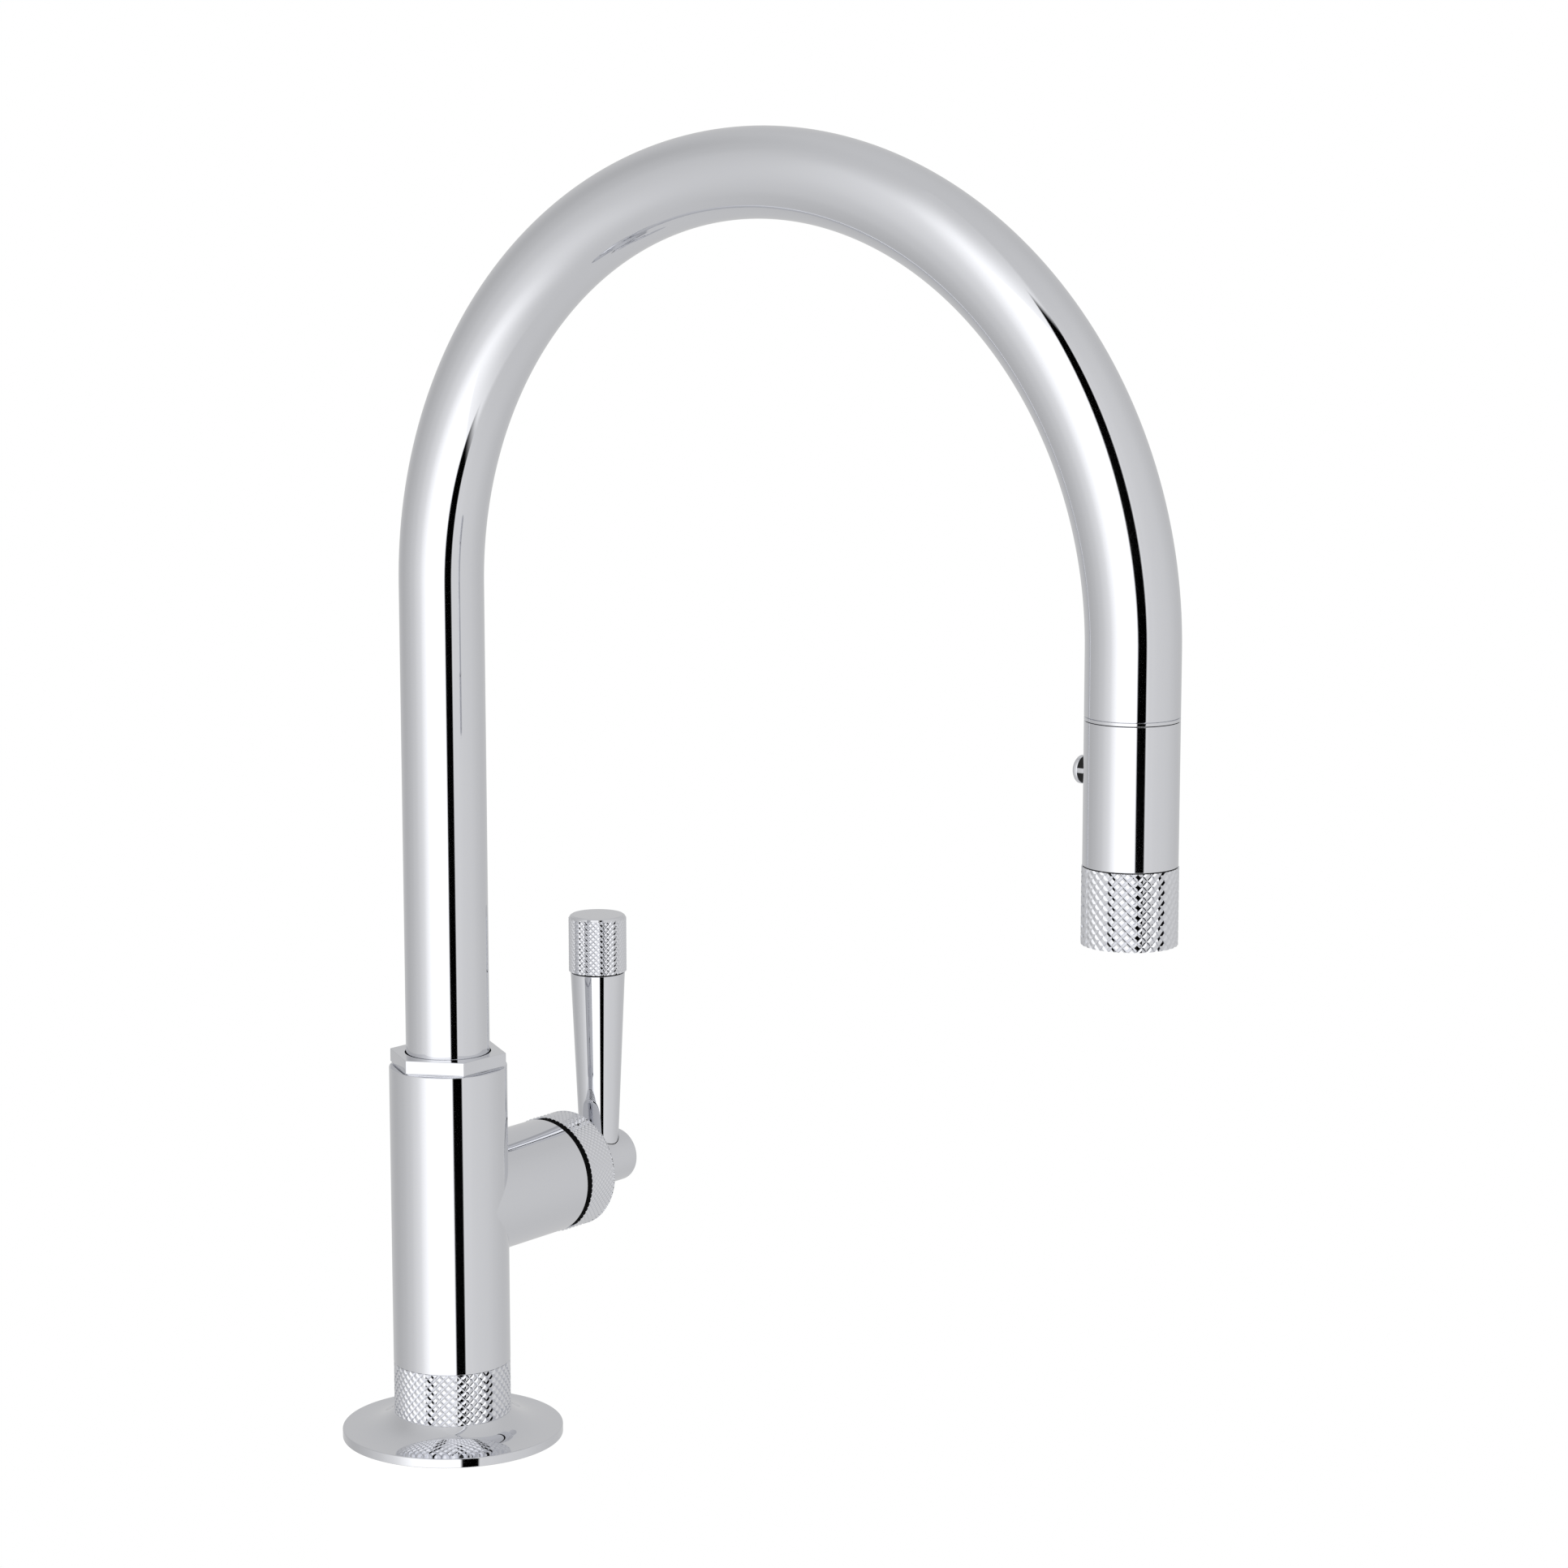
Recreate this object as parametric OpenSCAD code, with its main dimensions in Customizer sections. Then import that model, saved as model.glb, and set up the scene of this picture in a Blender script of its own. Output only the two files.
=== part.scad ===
// Single-lever kitchen faucet with a high arched spout and a pull-down spray head.
// Millimetres. The origin is the centre of the flange's underside, on the deck. +Z is up,
// +X points along the spout's reach, and +Y along the side valve that carries the lever.

/* [Spout] */
// Outside diameter of the spout tube
tube_d = 28; // [26:0.5:29]
// Wall of the spout tube
tube_wall = 1.5; // [1:0.1:1.8]
// Radius of the arch, to the middle of the tube
arch_r = 135.1; // [100:0.1:170]
// Height of the arch's centre above the deck
arch_z = 290.5; // [280:0.5:360]
// Straight tube below the arch on the outlet side
outlet_drop = 18.85; // [17:0.05:40]
// Height of the bright ring at the outlet
outlet_ring_h = 1.3; // [0.8:0.1:3]

/* [Spray head] */
// Length of the spray head below the outlet's seam
head_len = 66; // [60:0.1:90]
// Height of the knurled ring round the nozzle
nozzle_ring_h = 23; // [18:0.1:27]
// How far the knurled ring stands proud of the shell
nozzle_ring_proud = 0.2; // [0:0.05:0.6]
// Wall of the spray head's shell
head_wall = 1.6; // [1:0.1:1.8]
// Depth of the button's middle below the seam
button_drop = 16.2; // [15:0.1:19]
// Diameter of the button
button_d = 8.4; // [8:0.1:9.8]
// How far the button stands out of the shell
button_proud = 5.4; // [3.2:0.1:6]
// Travel of the button
button_travel = 2.4; // [1.5:0.1:2.6]
// Spray nozzles in the outer and in the inner ring
nozzle_counts = [16, 12];

/* [Hose] */
// Outside diameter of the braided hose
hose_d = 11; // [9:0.5:12]
// How far the hose reaches below the deck
hose_below = 62; // [56:1:90]

/* [Base] */
// Diameter of the flange
flange_d = 74.7; // [66:0.1:90]
// Height of the flange's edge
flange_rim_h = 3.1; // [2.6:0.1:4.5]
// Height of the flange at the knurled ring
flange_h = 8.6; // [7.5:0.1:11]
// How the flange sweeps up to the ring: 1 would be a cone, more is flatter outside
flange_curve = 3; // [2:0.1:5]
// Height of the knurled ring on the flange
base_ring_h = 17.5; // [10:0.1:22]
// Diameter of the threaded shank
shank_d = 34; // [33:0.1:34.5]
// Wall of the threaded shank
shank_wall = 1.6; // [1.2:0.1:1.7]
// Length of shank below the deck
shank_below = 50; // [46:1:54]
// Thickness of the deck that the nut is set for
deck_t = 20; // [10:1:22]

/* [Body] */
// Diameter of the upright body
body_d = 39.5; // [39:0.1:44]
// Top of the body above the deck
body_top = 128.3; // [126:0.1:150]
// Diameter of the hexagonal collar nut across its corners
nut_corner_d = 40; // [38.5:0.1:46]
// Height of the hexagonal collar nut
nut_h = 4.9; // [3:0.1:9]
// Turn of the tightened collar nut, in degrees
nut_turn = 57.9; // [0:0.1:60]

/* [Side valve] */
// Height of the valve's axis above the deck
valve_z = 79.8; // [74:0.1:82]
// Diameter of the side barrel
barrel_d = 39.4; // [38.6:0.2:42]
// Wall of the side barrel
barrel_wall = 2.8; // [2.4:0.1:3]
// Distance from the body's axis to the end of the barrel
barrel_len = 48.4; // [47.4:0.1:49]
// Width of the black ring between barrel and cap
groove_w = 2; // [1.5:0.1:2.7]
// Depth of the black ring below the barrel's surface
groove_depth = 0.4; // [0.3:0.1:1.2]
// Diameter of the knurled cap
cap_d = 40.2; // [39.4:0.1:43]
// Length of the knurled cap
cap_len = 12.8; // [12.5:0.1:14.3]
// Swing of the lever for temperature, each way, in degrees
swing = 45; // [30:1:60]
// Tilt of the lever from shut to fully open, in degrees
tilt = 20; // [12:1:20]

/* [Lever] */
// Diameter of the hub that carries the lever
hub_d = 18.7; // [17:0.1:20]
// Distance from the body's axis to the end of the hub
hub_end = 87.7; // [86.5:0.1:96]
// Distance from the body's axis to the lever's axis
lever_y = 77.5; // [77:0.1:79]
// Diameter of the lever where it meets the hub
lever_foot_d = 13.8; // [11:0.1:15]
// Diameter of the lever below the knob
lever_top_d = 18.9; // [15:0.1:19.8]
// Height of the seam below the knob, above the deck
knob_z = 147; // [125:0.1:180]
// Diameter of the knurled knob
knob_d = 20.1; // [20:0.1:24]
// Height of the knurled knob
knob_h = 20.2; // [16:0.1:30]

/* [Hidden] */
$fn = 96;

// Clearances
run_gap = 0.05;   // shaft in its bush
seam = 0.3;       // between pieces that move past each other
slip = 0.1;       // between pieces that are screwed or pushed together
touch = 0.02;     // between pieces that are brazed or pressed together
edge = 0.5;       // small rounded edges

// Radii
tube_r = tube_d / 2;
tube_bore_r = tube_r - tube_wall;
hose_r = hose_d / 2;
body_r = body_d / 2;
shank_r = shank_d / 2;
shank_bore_r = shank_r - shank_wall;
barrel_r = barrel_d / 2;
flange_r = flange_d / 2;
cap_r = cap_d / 2;
hub_r = hub_d / 2;
knob_r = knob_d / 2;

// Heights at the base
ring_top = flange_h + base_ring_h;
core_z = ring_top + 14;            // underside of the body's core, inside the shank
inlet_r = 3.5;                     // tapping size of an M8 socket
inlet_depth = 12;
inlet_pitch_r = shank_bore_r - inlet_r - 0.7;
inlet_angles = [45, 90, 135];      // cold, mixed, hot
drill_r = 2.2;

// Swivel of the spout in the body
socket_r = body_r - 3.2;
socket_floor = body_top - 29.8;     // floor of the bore that the spout stands in
skirt_h = 9;
bush_h = 3;
collar_h = 5;
skirt_z = body_top - skirt_h;
upper_bush_z = skirt_z - slip - bush_h;
collar_z = upper_bush_z - seam - collar_h;
o_ring_r = 1.1;
lower_bush_top = collar_z - 2 * o_ring_r - slip - seam;
bush_floor = 0.8;
tube_z0 = socket_floor + bush_floor + seam;

// Outlet and spray head
head_x = 2 * arch_r;
outlet_z = arch_z - outlet_drop;
ring_z = outlet_z - outlet_ring_h;
head_top = ring_z - seam;
head_bottom = ring_z - head_len;
shell_bottom = head_bottom + nozzle_ring_h + seam;
sleeve_h = 15;
sleeve_r = tube_bore_r - run_gap;
sleeve_bore_r = sleeve_r - 1.6;
neck_r = sleeve_bore_r - seam - 0.2;
neck_top = head_top + 13;
groove_z = neck_top - 4;
nipple_r = 7.3;
nipple_top = arch_z - 0.7;
shell_bore_r = tube_r - head_wall;
core_r = shell_bore_r - slip;
nozzle_r = tube_r + nozzle_ring_proud;
nozzle_bore_r = nozzle_r - 1.5;
lip_h = 0.9;
face_z = head_bottom + lip_h;
face_h = 3.6;
mat_h = 1.6;
aerator_r = 7;
button_z = ring_z - button_drop;
button_r = button_d / 2;
pocket_r = button_r + 0.7;
pocket_x = -5;                     // floor of the button's pocket, from the head's axis
flange_x = -10.9;                  // outer face of the button's inner flange
button_flange_h = 1;
spool_bore_r = 3;

// Side valve, outward along +Y
pivot_y = barrel_len + 9.6;
ball_r = barrel_r - barrel_wall - 3.9;
seat_gap = seam;
cap_y = barrel_len + groove_w;
cap_end = cap_y + cap_len;
cap_wall = 3;
bore_r = barrel_r - barrel_wall;
stem_arm = 12.5;
stem_ball_r = 3.2;
driver_y = pivot_y - stem_arm - 3.5;
driver_h = 5;
moving_disc_h = 3.5;
fixed_disc_h = 4;
housing_base_h = 3;
seal_h = 1;
moving_disc_y = driver_y - moving_disc_h;
fixed_disc_y = moving_disc_y - fixed_disc_h;
housing_y = fixed_disc_y - housing_base_h;
seat_y = housing_y - seal_h;
housing_step_y = pivot_y - 16;
guide_y = driver_y + driver_h + seam;
guide_h = 2.7;
housing_end = guide_y + guide_h + seam;
nut_front = housing_end + 1.7;
nut_sleeve_end = cap_end - cap_wall - 3;
nut_thread_r = bore_r - run_gap;
nut_bore_r = nut_thread_r - 1.85;
front_r = nut_bore_r - slip;       // front part of the cartridge housing
chamber_r = front_r - 1.7;
stroke = stem_arm * tilt * PI / 180;
moving_disc_r = chamber_r - stroke / 2 - 0.4;
nose_r = 6.8;
stem_r = 3.5;
neck_stem_r = 2.2;
pin_r = 1.5;
port_r = 2;
mixed_dz = -6;
supply_dz = 2;
stem_end = hub_end - 5;
stud_r = 3;
screw_y = lever_y - 6.5;

chrome = [0.8, 0.81, 0.83];
brass = [0.76, 0.62, 0.34];
steel = [0.62, 0.64, 0.67];
black = [0.06, 0.06, 0.07];
acetal = [0.9, 0.9, 0.88];
ceramic = [0.96, 0.95, 0.92];
braid = [0.3, 0.31, 0.33];

// --- shared shapes -------------------------------------------------------------------

// Puts its children on the valve's axis: local +Z becomes +Y, local +Y becomes -Z
module on_valve(y = 0) {
  translate([0, y, valve_z]) rotate([-90, 0, 0]) children();
}

// Puts its children on the spray head's axis, at height z
module on_head(z = 0) {
  translate([head_x, 0, z]) children();
}

module ring(r_out, r_in, h) {
  difference() {
    cylinder(r = r_out, h = h);
    translate([0, 0, -1]) cylinder(r = r_in, h = h + 2);
  }
}

// Ring with its outer edges rounded by e at both ends
module soft_ring(r_out, r_in, h, e = edge) {
  rotate_extrude() {
    translate([r_in, 0]) square([r_out - e - r_in, h]);
    translate([r_in, e]) square([r_out - r_in, h - 2 * e]);
    for (z = [e, h - e]) translate([r_out - e, z]) circle(e);
  }
}

// Round bar with its far edge rounded by e
module soft_bar(r, h, e = edge) {
  rotate_extrude() {
    square([r - e, h]);
    square([r, h - e]);
    translate([r - e, h - e]) circle(e);
  }
}

module o_ring(r_mid, r_cord) {
  rotate_extrude() translate([r_mid, 0]) circle(r_cord);
}

// Rod of radius r along the spout's centreline, from z_from in the riser to z_to below the arch
module spout_run(r, z_from, z_to) {
  translate([0, 0, z_from]) cylinder(r = r, h = arch_z - z_from);
  translate([arch_r, 0, arch_z]) rotate([90, 0, 0]) rotate_extrude(angle = 180)
    translate([arch_r, 0]) circle(r);
  on_head(z_to) cylinder(r = r, h = arch_z - z_to);
}

// --- base and deck fixing ---------------------------------------------------------------

gasket_h = 1.6;
gasket_in = shank_r + 3;
gasket_out = flange_r - 3;

module base_gasket() {
  color(black) ring(gasket_out - slip, gasket_in + slip, gasket_h);
}

// The flange is flat at its rim and sweeps up ever steeper to the foot of the knurled ring
module base_flange() {
  foot_r = body_r + 0.3;
  hole_r = shank_r + seam;
  steps = 24;
  color(chrome) difference() {
    rotate_extrude() polygon(concat(
      [[hole_r, 0], [flange_r, 0], [flange_r, flange_rim_h - edge / 2]],
      [for (i = [0:steps]) let (x = i / steps)
        [flange_r - edge / 2 - (flange_r - edge / 2 - foot_r) * x,
         flange_rim_h + (flange_h - flange_rim_h) * pow(x, flange_curve)]],
      [[hole_r, flange_h]]));
    translate([0, 0, -1]) ring(gasket_out, gasket_in, gasket_h + 1);
  }
}

module knurled_base_ring() {
  color(chrome) translate([0, 0, flange_h])
    soft_ring(body_r - 0.05, shank_r + slip, base_ring_h, 0.3);
}

module threaded_shank() {
  color(brass) difference() {
    union() {
      translate([0, 0, -shank_below]) cylinder(r = shank_r, h = shank_below);
      cylinder(r = shank_r - slip, h = core_z - slip);
    }
    translate([0, 0, -shank_below - 1]) cylinder(r = shank_bore_r, h = shank_below + core_z + 2);
  }
}

deck_gasket_h = 2;
deck_washer_h = 1.5;
screw_reach = 3;
nut_disc_h = 5;
nut_hex_h = 6;
screw_pitch_r = shank_r + 7.5;
deck_washer_z = -deck_t - deck_gasket_h - deck_washer_h;
nut_disc_z = deck_washer_z - screw_reach - nut_disc_h;

module deck_gasket() {
  color(black) translate([0, 0, -deck_t - deck_gasket_h])
    ring(shank_r + 12.5, shank_r + 0.6, deck_gasket_h);
}

module deck_washer() {
  color(steel) translate([0, 0, deck_washer_z]) ring(shank_r + 12, shank_r + 0.5, deck_washer_h);
}

// Flanged nut on the shank; its three screws tighten the washer against the deck
module mounting_nut() {
  color(brass) difference() {
    union() {
      translate([0, 0, nut_disc_z]) soft_ring(shank_r + 11.5, shank_r - 1, nut_disc_h);
      translate([0, 0, nut_disc_z - nut_hex_h]) cylinder(r = shank_r + 4.5, h = nut_hex_h + 1, $fn = 6);
    }
    translate([0, 0, nut_disc_z - nut_hex_h - 1])
      cylinder(r = shank_r + run_gap, h = nut_hex_h + nut_disc_h + 2);
    for (a = [0:120:240]) rotate(a + 30) translate([screw_pitch_r, 0, nut_disc_z - 1])
      cylinder(r = 2.5 + run_gap, h = nut_disc_h + 2);
  }
}

module clamp_screws() {
  head_h = 3.5;
  color(steel) for (a = [0:120:240]) rotate(a + 30)
    translate([screw_pitch_r, 0, nut_disc_z - 2 - head_h]) difference() {
      union() {
        cylinder(r = 2.5, h = head_h + 2 + nut_disc_h + screw_reach);
        cylinder(r = 4, h = head_h);
      }
      translate([0, 0, -1]) cylinder(r = 1.7, h = 3, $fn = 6);
    }
}

// --- body --------------------------------------------------------------------------------

// The upright is turned from bar. Cold and hot water rise from two sockets under its core and
// cross to the valve's seat in the side barrel; mixed water returns to the third socket.
module faucet_body() {
  color(chrome) difference() {
    translate([0, 0, ring_top]) cylinder(r = body_r, h = body_top - ring_top);
    translate([0, 0, ring_top - 1]) cylinder(r = shank_r, h = core_z - ring_top + 1);
    translate([0, 0, core_z - 1]) cylinder(r = hose_r + 1, h = body_top - core_z);
    translate([0, 0, socket_floor]) cylinder(r = socket_r, h = body_top - socket_floor + 1);
    for (a = inlet_angles) drilling(a);
  }
}

// Saddled on the upright and brazed to it; bored to take the cartridge
module side_barrel() {
  color(chrome) difference() {
    on_valve() cylinder(r = barrel_r, h = barrel_len);
    cylinder(r = body_r + touch, h = body_top);
    on_valve(seat_y) cylinder(r = bore_r, h = barrel_len);
    for (a = inlet_angles) drilling(a);
  }
}

module drilling(a) {
  port_z = valve_z + (a == 90 ? mixed_dz : supply_dz);
  foot = [inlet_pitch_r * cos(a), inlet_pitch_r * sin(a)];
  translate([foot[0], foot[1], core_z - 1]) {
    cylinder(r = inlet_r, h = inlet_depth + 1);
    cylinder(r = drill_r, h = port_z - core_z + 1.4 + drill_r);
  }
  translate([foot[0], foot[1], port_z]) rotate([-90, 0, 0])
    cylinder(r = port_r, h = seat_y - foot[1] + 1);
}

module lower_bush() {
  color(acetal) translate([0, 0, socket_floor]) difference() {
    cylinder(r = socket_r - run_gap, h = lower_bush_top - socket_floor);
    translate([0, 0, bush_floor]) cylinder(r = tube_r + run_gap, h = lower_bush_top);
    translate([0, 0, -1]) cylinder(r = tube_bore_r, h = 3);
  }
}

module upper_bush() {
  color(acetal) translate([0, 0, upper_bush_z]) ring(socket_r - run_gap, tube_r + run_gap, bush_h);
}

module collar_nut() {
  color(chrome) difference() {
    union() {
      translate([0, 0, body_top]) rotate(30 + nut_turn) cylinder(d = nut_corner_d, h = nut_h, $fn = 6);
      translate([0, 0, skirt_z]) cylinder(r = socket_r - run_gap, h = skirt_h + 1);
    }
    translate([0, 0, skirt_z - 1]) cylinder(r = tube_r + 0.4, h = skirt_h + nut_h + 2);
  }
}

// --- spout -------------------------------------------------------------------------------

module spout_tube() {
  color(chrome) difference() {
    spout_run(tube_r, tube_z0, outlet_z);
    spout_run(tube_bore_r, tube_z0 - 1, outlet_z - 1);
  }
}

// Brazed on the tube; held between the two bushes, it keeps the spout in the body
module spout_collar() {
  color(brass) translate([0, 0, collar_z]) ring(socket_r - seam, tube_r + touch, collar_h);
}

module spout_o_ring() {
  color(black) translate([0, 0, collar_z - o_ring_r - slip])
    o_ring(tube_r + o_ring_r + touch, o_ring_r);
}

module outlet_ring() {
  color(chrome) on_head(ring_z) ring(tube_r, sleeve_bore_r, outlet_ring_h);
}

// Acetal guide in the tube's mouth that the spray head's neck docks in
module dock_sleeve() {
  lead = 3;
  color(acetal) on_head(outlet_z) difference() {
    cylinder(r = sleeve_r, h = sleeve_h);
    translate([0, 0, -1]) cylinder(r = sleeve_bore_r, h = sleeve_h + 2);
    translate([0, 0, sleeve_h - lead])
      cylinder(r1 = sleeve_bore_r - 0.01, r2 = sleeve_r - 0.5, h = lead + 0.01);
  }
}

module spray_hose() {
  color(braid) difference() {
    spout_run(hose_r, -hose_below, nipple_top + seam);
    spout_run(hose_r - 2, -hose_below - 1, nipple_top - 1);
  }
}

// Quick coupling on the hose's lower end
module hose_coupling() {
  len = 20;
  color(brass) translate([0, 0, -hose_below - len]) difference() {
    union() {
      cylinder(r = 5, h = len);
      translate([0, 0, 4]) cylinder(r = 6.6, h = 3);
      translate([0, 0, 10]) cylinder(r = 7, h = len - 10);
    }
    translate([0, 0, -1]) cylinder(r = 3, h = len - 3);
  }
}

// --- spray head --------------------------------------------------------------------------

// Swivel nipple that joins the hose to the head's neck
module hose_nipple() {
  grip_h = 3.2;
  color(brass) on_head() difference() {
    union() {
      translate([0, 0, neck_top - 9]) cylinder(r = 6, h = 10);
      translate([0, 0, neck_top]) cylinder(r = nipple_r + 0.7, h = grip_h, $fn = 6);
      translate([0, 0, neck_top + grip_h - 0.1])
        cylinder(r = nipple_r - 0.6, h = nipple_top - neck_top - grip_h + 0.1);
    }
    translate([0, 0, neck_top - 10]) cylinder(r = 3.2, h = nipple_top - neck_top + 12);
  }
}

module spray_shell() {
  top_h = 1.6;
  color(chrome) on_head() difference() {
    translate([0, 0, shell_bottom]) soft_ring(tube_r, neck_r + slip, head_top - shell_bottom, 0.25);
    translate([0, 0, shell_bottom - 1]) cylinder(r = shell_bore_r, h = head_top - top_h - shell_bottom + 1);
    translate([-shell_bore_r + 3, 0, button_z]) rotate([0, -90, 0])
      cylinder(r = button_r + 0.2, h = head_wall + 5);
  }
}

// Water body of the head: neck, valve chamber, button pocket and the way to the nozzles
module spray_core() {
  shoulder_z = head_top - 1.6 - slip;
  foot_z = face_z + face_h + mat_h;
  way_r = 4;
  color(acetal) on_head() difference() {
    union() {
      translate([0, 0, foot_z]) cylinder(r = min(core_r, nozzle_bore_r - slip), h = shoulder_z - foot_z);
      translate([0, 0, shoulder_z - 1]) cylinder(r = neck_r, h = neck_top - shoulder_z + 1);
    }
    translate([0, 0, neck_top - 9 - slip]) cylinder(r = 6 + run_gap, h = 10);
    translate([0, 0, neck_top - 20]) cylinder(r = 4.6, h = 12);
    translate([0, 0, button_z + 1]) cylinder(r = 2, h = neck_top - 20 - button_z);
    translate([0, 0, foot_z - 1]) cylinder(r = aerator_r + run_gap, h = 8);
    translate([0, 0, foot_z]) cylinder(r = way_r, h = button_z - foot_z - 1);
    for (a = [30:60:330]) rotate(a) translate([9.6, 0, foot_z - 1]) cylinder(r = 1.3, h = 12);
    translate([0, 0, foot_z + 10]) ring(11.2, 8, 3);
    translate([7.5, 0, foot_z + 11]) cylinder(r = 1.5, h = button_z - foot_z - 11);
    translate([pocket_x, 0, button_z]) rotate([0, -90, 0]) cylinder(r = pocket_r, h = tube_r);
    translate([pocket_x - 1, 0, button_z]) rotate([0, 90, 0]) cylinder(r = spool_bore_r, h = 15);
    translate([0, 0, groove_z - 0.85]) ring(neck_r + 1, neck_r - 1.45, 1.7);
  }
}

module neck_o_ring() {
  color(black) on_head(groove_z) o_ring(neck_r - 0.63, 0.8);
}

module check_valve() {
  color(acetal) on_head(neck_top - 20) difference() {
    cylinder(r = 4.5, h = 9.5);
    translate([0, 0, -1]) cylinder(r = 3.1, h = 6);
    for (a = [0:60:300]) rotate(a) translate([3, 0, 3]) cylinder(r = 0.8, h = 8);
  }
}

module aerator_housing() {
  color(acetal) on_head(head_bottom + 0.6) ring(aerator_r, aerator_r - 0.9, 12);
}

// Mesh plate of the aerator: one hole in the middle, six and twelve round it
module aerator_screen() {
  color(steel) on_head(head_bottom + 1.2) difference() {
    cylinder(r = aerator_r - 0.9 - run_gap, h = 1);
    for (k = [0:2], i = [0:max(0, 6 * k - 1)]) rotate(i * 60 / max(1, k))
      translate([1.9 * k, 0, -1]) cylinder(r = 0.65, h = 3, $fn = 24);
  }
}

nozzle_rings = [11, 8.9];

module at_nozzles() {
  for (k = [0:1], i = [0:nozzle_counts[k] - 1])
    rotate((i + 0.5 * k) * 360 / nozzle_counts[k]) translate([nozzle_rings[k], 0, 0]) children();
}

// Rubber mat behind the face, with a nub through each of the face's holes
module nozzle_mat() {
  nub_h = face_h + 0.7;
  color(black) on_head(face_z + face_h) {
    ring(nozzle_bore_r - slip, aerator_r + 0.7, mat_h);
    at_nozzles() translate([0, 0, -nub_h]) cylinder(r = 0.7, h = nub_h + 0.5, $fn = 24);
  }
}

module spray_face() {
  color(steel) on_head(face_z) difference() {
    ring(nozzle_bore_r - slip, aerator_r + 0.3, face_h);
    at_nozzles() translate([0, 0, -1]) cylinder(r = 0.85, h = face_h + 2, $fn = 24);
  }
}

module knurled_nozzle_ring() {
  color(chrome) on_head(head_bottom) difference() {
    soft_ring(nozzle_r, nozzle_bore_r - 0.6, nozzle_ring_h, 0.3);
    translate([0, 0, lip_h]) cylinder(r = nozzle_bore_r, h = nozzle_ring_h);
  }
}

// Domed button; its inner flange sits behind the shell, its pin pushes the spool
module spray_button() {
  neck_len = -flange_x + 0.1;
  dome = button_r * 0.45;
  bow = (button_r * button_r + dome * dome) / (2 * dome);
  color(chrome) on_head(button_z) rotate([0, -90, 0]) {
    translate([0, 0, -flange_x - button_flange_h]) cylinder(r = pocket_r - 0.25, h = button_flange_h);
    intersection() {
      translate([0, 0, neck_len - 0.2]) cylinder(r = button_r, h = tube_r + button_proud - neck_len + 0.2);
      translate([0, 0, tube_r + button_proud - bow]) sphere(r = bow);
    }
    translate([0, 0, -pocket_x]) cylinder(r = 1.6, h = -flange_x + pocket_x);
  }
}

module diverter_spool() {
  color(steel) on_head(button_z) rotate([0, 90, 0]) {
    translate([0, 0, pocket_x]) cylinder(r = 1.6, h = 9.5);
    for (x = [-3.2, 1.8]) translate([0, 0, x]) cylinder(r = spool_bore_r - run_gap, h = 1.8);
  }
}

// Open coil round the button's pin, swept along a helix
module button_spring() {
  wire_r = 0.25;
  coil_r = 3.8;
  turns = 3;
  steps = 16 * turns;
  sides = 8;
  x0 = pocket_x - wire_r - slip;
  len = (x0 - flange_x) - button_flange_h - wire_r - slip;
  pts = [for (i = [0:steps], j = [0:sides - 1])
    let (a = 360 * turns * i / steps, b = 360 * j / sides, r = coil_r + wire_r * cos(b))
    [x0 - len * i / steps + wire_r * sin(b), r * cos(a), r * sin(a)]];
  side_faces = [for (i = [0:steps - 1], j = [0:sides - 1])
    let (k = (j + 1) % sides)
    [i * sides + j, i * sides + k, (i + 1) * sides + k, (i + 1) * sides + j]];
  caps = [[for (j = [sides - 1:-1:0]) j], [for (j = [0:sides - 1]) steps * sides + j]];
  color(steel) on_head(button_z) polyhedron(pts,
    concat(side_faces, caps));
}

// --- cartridge ---------------------------------------------------------------------------

// Holes on the drillings' lines, through a piece of the cartridge
module ports(r, h) {
  for (a = inlet_angles)
    translate([inlet_pitch_r * cos(a), -(a == 90 ? mixed_dz : supply_dz), -1])
      cylinder(r = r, h = h + 2);
}

module cartridge_seal() {
  color(black) on_valve(seat_y) difference() {
    cylinder(r = bore_r - 0.4, h = seal_h);
    ports(drill_r, seal_h);
  }
}

module cartridge_housing() {
  step_h = housing_step_y - housing_y;
  color(acetal) on_valve(housing_y) difference() {
    union() {
      cylinder(r = bore_r - 0.4, h = step_h);
      cylinder(r = front_r, h = housing_end - housing_y);
    }
    translate([0, 0, housing_base_h]) cylinder(r = chamber_r, h = housing_end);
    ports(port_r, housing_base_h);
  }
}

module fixed_disc() {
  color(ceramic) on_valve(fixed_disc_y) difference() {
    cylinder(r = chamber_r - slip, h = fixed_disc_h);
    ports(port_r, fixed_disc_h);
  }
}

// The moving disc rests half a stroke below the middle and ends half a stroke above it.
// The T-shaped hollow in its face reaches the mixed port and, once lifted, the supply ports.
module moving_disc() {
  hollow_w = 1.48 * moving_disc_r;
  hollow_h = 1.5;
  color(ceramic) on_valve(moving_disc_y) translate([0, stroke / 2, 0]) difference() {
    cylinder(r = moving_disc_r, h = moving_disc_h);
    translate([-hollow_w / 2, -1.4, -1]) cube([hollow_w, 6.4, hollow_h + 1]);
    translate([-2.5, 0, -1]) cube([5, moving_disc_r - 1.4, hollow_h + 1]);
  }
}

module disc_driver() {
  color(black) on_valve(driver_y) translate([0, stroke / 2, 0]) difference() {
    cylinder(r = moving_disc_r, h = driver_h);
    translate([0, -stroke / 2, -1]) cylinder(r = stem_ball_r + 0.5, h = driver_h + 2);
  }
}

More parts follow.
